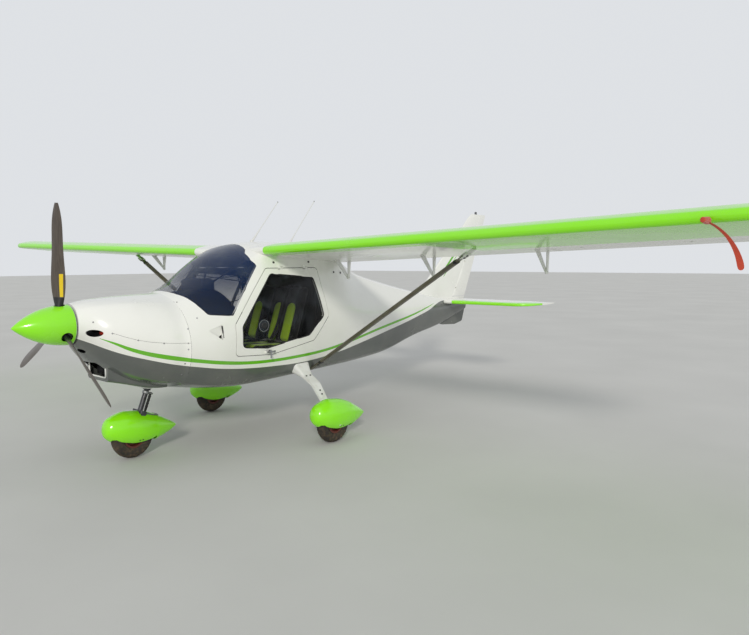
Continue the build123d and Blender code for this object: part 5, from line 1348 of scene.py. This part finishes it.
for x, z, radius in GAUGES:
    face_y = POD_FACE if z > POD_FROM else DASH_FACE
    ring = start("cylinder", vertices=40, radius=radius, depth=0.012, rotation=TO_PILOT,
                 location=(x, face_y + 0.005, z))
    settle(ring)
    with editing(ring, facing(Y_WAY)):
        bevel(0.002)
        step_in(radius * 0.12, -0.004, Y_WAY)
    rings.append(ring)
    dial = start("circle", vertices=40, radius=radius * 0.84, fill_type="NGON", rotation=TO_PILOT,
                 location=(x, face_y + 0.0075, z))
    settle(dial)
    apply_modifier(dial, "SOLIDIFY", thickness=0.001)
    dials.append(dial)
for x, z, wide, high in SCREENS:
    block = soft_block((wide, 0.012, high), 0.003, location=(x, DASH_FACE + 0.005, z))
    with editing(block, facing(Y_WAY)):
        step_in(0.008, -0.002, Y_WAY)
    screens.append(block)
finish_piece(join(rings), "gauge_rings", black_plastic, angle=30)
finish_piece(join(dials), "gauge_dials", gauge_face, angle=30)
finish_piece(join(screens), "dash_screens", black_plastic, angle=30)

# %% [markdown]
# ## Small pieces on the outside
#
# The last pieces are the ones a passer-by notices: the red pitot cover with its streamer, the white brackets that
# carry the flaps, the aerials, the seams of the cowl, and a black rod of painted shade in the side inlet's slit.
# The streamer is a strip of nylon cloth, so it keeps its cut widths along the line in which it
# hangs, is twisted a little and is thickened last.

# %% Pitot cover: a sewn sleeve over the tube, a little crumpled
PITOT_AXIS = Vector((3.900, 0, 1.739))
SLEEVE_CORE, CRUMPLE = 0.008, 0.0016
sleeve = start("cone", vertices=40, radius1=0.0185, radius2=0.0125, depth=0.088, rotation=(math.radians(90), 0, 0),
               location=(PITOT_AXIS.x, at(1.746), PITOT_AXIS.z))
settle(sleeve)
with editing(sleeve, facing(-Y_WAY)):
    bevel(0.005, 3)
    choose(sleeve, "faces", lambda middle, face: abs(face.normal.y) < 0.5)
    bpy.ops.mesh.subdivide(number_cuts=6)
for vertex in sleeve.data.vertices:
    spoke = Vector((vertex.co.x - PITOT_AXIS.x, 0, vertex.co.z - PITOT_AXIS.z))
    if spoke.length > SLEEVE_CORE:
        angle = math.atan2(spoke.z, spoke.x)
        wave, cross_wave = math.sin(3 * angle + 90 * vertex.co.y), math.sin(5 * angle - 55 * vertex.co.y)
        vertex.co += spoke.normalized() * CRUMPLE * wave * cross_wave
finish_piece(sleeve, "pitot_sleeve", red_cloth, angle=50)
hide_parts("pitot_cover")

# %% Streamer: a strip of the same cloth that hangs from the sleeve
STREAMER_LINE = ((3.908, 1.780, 1.728), (3.932, 1.782, 1.716), (3.962, 1.784, 1.692), (3.992, 1.788, 1.660),
                 (4.018, 1.792, 1.620), (4.038, 1.796, 1.576), (4.050, 1.800, 1.536), (4.056, 1.804, 1.498))
STREAMER_WIDTHS = (0.014, 0.015, 0.016, 0.018, 0.022, 0.026, 0.030, 0.031)
TWIST_START, TWIST_STEP = 50, 9
STREAMER_THICKNESS = 0.0008
line = [Vector((x, at(station), z)) for x, station, z in STREAMER_LINE]
acrosses = []
for k, width in enumerate(STREAMER_WIDTHS):
    ahead = ahead_at(line, k)
    twist = Matrix.Rotation(math.radians(TWIST_START - TWIST_STEP * k), 3, ahead)
    acrosses.append(twist @ ahead.cross(Y_WAY).normalized() * width / 2)
streamer = ribbon(line, acrosses)
thicken(streamer, 2, STREAMER_THICKNESS, 0)
finish_piece(streamer, "pitot_streamer", red_cloth, angle=50)

# %% Flap brackets: the fixed legs widen to tapered plates towards the wing
FLAP_PIVOT = Vector((1.576207, -0.300203, 1.434832))
DIHEDRAL_RISE = 0.033698
BRACKET_X = (0.590, 1.568, 2.587)
LEG_WAY = Vector((0, -0.185, 0.154)).normalized()
LEG_LENGTH = 0.22
LEG_FLARE, LEG_STRETCH = 1.2, 0.022
LEG_PLATE = (0.004, 0.036, 0.150)


def pivot_at(x):
    """The flap's pivot line at a distance from the middle, on either side."""
    return Vector((x, FLAP_PIVOT.y, FLAP_PIVOT.z + (abs(x) - FLAP_PIVOT.x) * DIHEDRAL_RISE))


for vertex in bpy.data.objects["flap_brackets_skin"].data.vertices:
    reach = vertex.co - pivot_at(vertex.co.x)
    along = reach.dot(LEG_WAY)
    if along > 0.02:
        vertex.co += (reach - LEG_WAY * along) * LEG_FLARE * along / LEG_LENGTH
        if along > 0.12:
            vertex.co += LEG_WAY * LEG_STRETCH

plates = []
for x in BRACKET_X:
    plate = cut_block(LEG_PLATE)
    with editing(plate, facing(-Z_WAY)):
        bpy.ops.transform.resize(value=(1, 0.7, 1))
        choose(plate, "edges", lambda middle, edge: abs(middle.z) < 0.01)
        bevel(0.001)
    plate.matrix_world = Matrix.Translation(pivot_at(x) + Vector((0.0105, 0.004, 0.076)))
    plates.append(plate)
finish_pair(join(plates), "flap_leg_plates", white_metal, "flap_left", 30)

# %% Seams of the cowl: a line under the halves' edge and one round the fuselage joint
SEAM_RADIUS, SEAM_SPACING = 0.0009, 0.03
JOINT_STATION = 1.091
SEAM_LINES = (
    ("cowl_seam", ((0.560, 1.046), (0.640, 1.012), (0.716, 0.985), (0.800, 0.965), (0.889, 0.952), (0.980, 0.942),
                   (1.088, 0.936))),
    ("cowl_rear_seam", [(JOINT_STATION, z) for z in (1.245, 1.150, 1.050, 0.950, 0.850, 0.760, 0.690)]),
)
for seam_name, seam_line in SEAM_LINES:
    seam = tube(laid_on_side(spaced(seam_line, SEAM_SPACING)), SEAM_RADIUS)
    finish_pair(seam, seam_name, rubber_seal, angle=TUBE_ANGLE)

# %% Side inlet: a black rod along the rear of its ramp, painted shade in the dark opening of its slit
INLET_SHADE_INWARDS = Vector((-0.007, -0.015, 0))
inlet_shade_line = [on_side(1.374, z)[0] + INLET_SHADE_INWARDS for z in (0.952, 0.976, 1.000, 1.024, 1.048)]
# the black rod paints the shade inside the inlet's opening
finish_pair(tube(inlet_shade_line, 0.0065), "side_inlet_slit", black_plastic, angle=TUBE_ANGLE)

# %% Rim round the chin scoop's mouth, and the lip of its outlet
SCOOP_CORNERS = ((-0.131, 0.693), (0.131, 0.693), (0.131, 0.819), (-0.131, 0.819))
rim_line = [Vector((x, at(0.589), z)) for x, z in rounded_line(SCOOP_CORNERS, 0.024)]
finish_piece(tube(rim_line, 0.0065, closed=True), "scoop_rim", white_gelcoat, angle=TUBE_ANGLE)
lip = soft_block((0.200, 0.070, 0.010), 0.003, location=(-0.012, at(0.950), 0.556),
                 rotation=(math.radians(-12), 0, 0))
finish_piece(lip, "outlet_lip", white_gelcoat, angle=30)

# %% Tails of the spats: the skin carried on below, where the moulding's inner wall ends
SKIN_STEP = 0.0008
SPAT_TAIL = ((0.420, 0.086, 0.328, 0.112), (0.465, 0.0725, 0.3040, 0.1235), (0.495, 0.0625, 0.2870, 0.1325),
             (0.530, 0.050, 0.266, 0.144), (0.570, 0.0335, 0.2415, 0.1595))  # distance, half width, top and low
SPAT_NOSE = 0.233  # from a spat's nose to its axle
AROUND = 64
for spat_name, x, axle_station, body in (
    ("nose_spat", 0.0, 0.839, "nose_steer"), ("main_spat_left", 0.896, 2.203, "airframe"),
    ("main_spat_right", -0.896, 2.203, "airframe"),
):
    corners = []
    for distance, half, top, low in SPAT_TAIL:
        middle = Vector((x, at(axle_station - SPAT_NOSE + distance), (top + low) / 2))
        wide, high = half - SKIN_STEP, (top - low) / 2 - SKIN_STEP
        corners += [middle + Vector((wide * across, 0, high * up)) for across, up in circle(AROUND)]
    faces = [(AROUND * row + k, AROUND * row + (k + 1) % AROUND, AROUND * (row + 1) + (k + 1) % AROUND,
              AROUND * (row + 1) + k) for row in range(len(SPAT_TAIL) - 1) for k in range(AROUND)]
    tail = from_points(corners, [], faces)
    thicken(tail, 1, 0.002, -1)
    finish_piece(tail, spat_name + "_tail", green_gelcoat, body, 40)

# %% Small bolts low on the spats' sides
for node_name, x, station, body in (
    ("nose_spat", 0.0, 0.875, "nose_steer"), ("main_spats", 0.896, 2.235, "airframe"),
):
    spots = [(station + step, 0.150) for step in (-0.014, 0.014)]
    fasten(bolt, skin_of(node_name), spots, node_name + "_bolts", dark_fittings, 0.001, 0.55,
           from_x=x + 0.4, body=body)

# %% Aerials: tapered white feet and dark tips
ROOF_SKIN = skin_of("cabin_shell", "tail_boom")
FOOT_LENGTH = 0.150
feet, tips = [], []
for foot, tip, tip_z in ((2.080, 2.400, 2.112), (2.514, 2.870, 2.150)):
    base = hit(ROOF_SKIN, (0, at(foot), 2.4), -Z_WAY)[0]
    way = Vector((0, at(tip), tip_z)) - base
    cone = start("cone", vertices=28, radius1=0.0115, radius2=0.0050, depth=FOOT_LENGTH)
    cone.matrix_world = turned_to(base + way.normalized() * FOOT_LENGTH / 2, way)
    feet.append(cone)
    bead = start("uv_sphere", segments=20, ring_count=12, radius=0.0055)
    bead.matrix_world = Matrix.Translation(base + way - way.normalized() * 0.004)
    tips.append(bead)
finish_piece(join(feet), "aerial_feet", white_plastic, angle=40)
finish_piece(join(tips), "aerial_tips", black_plastic, angle=40)

# %% [markdown]
# ## Closing the scene
#
# The screw and the bolt that were copied are removed.

# %% Remove the screw and the bolt that were copied
for master in (screw, bolt):
    bpy.data.objects.remove(master)
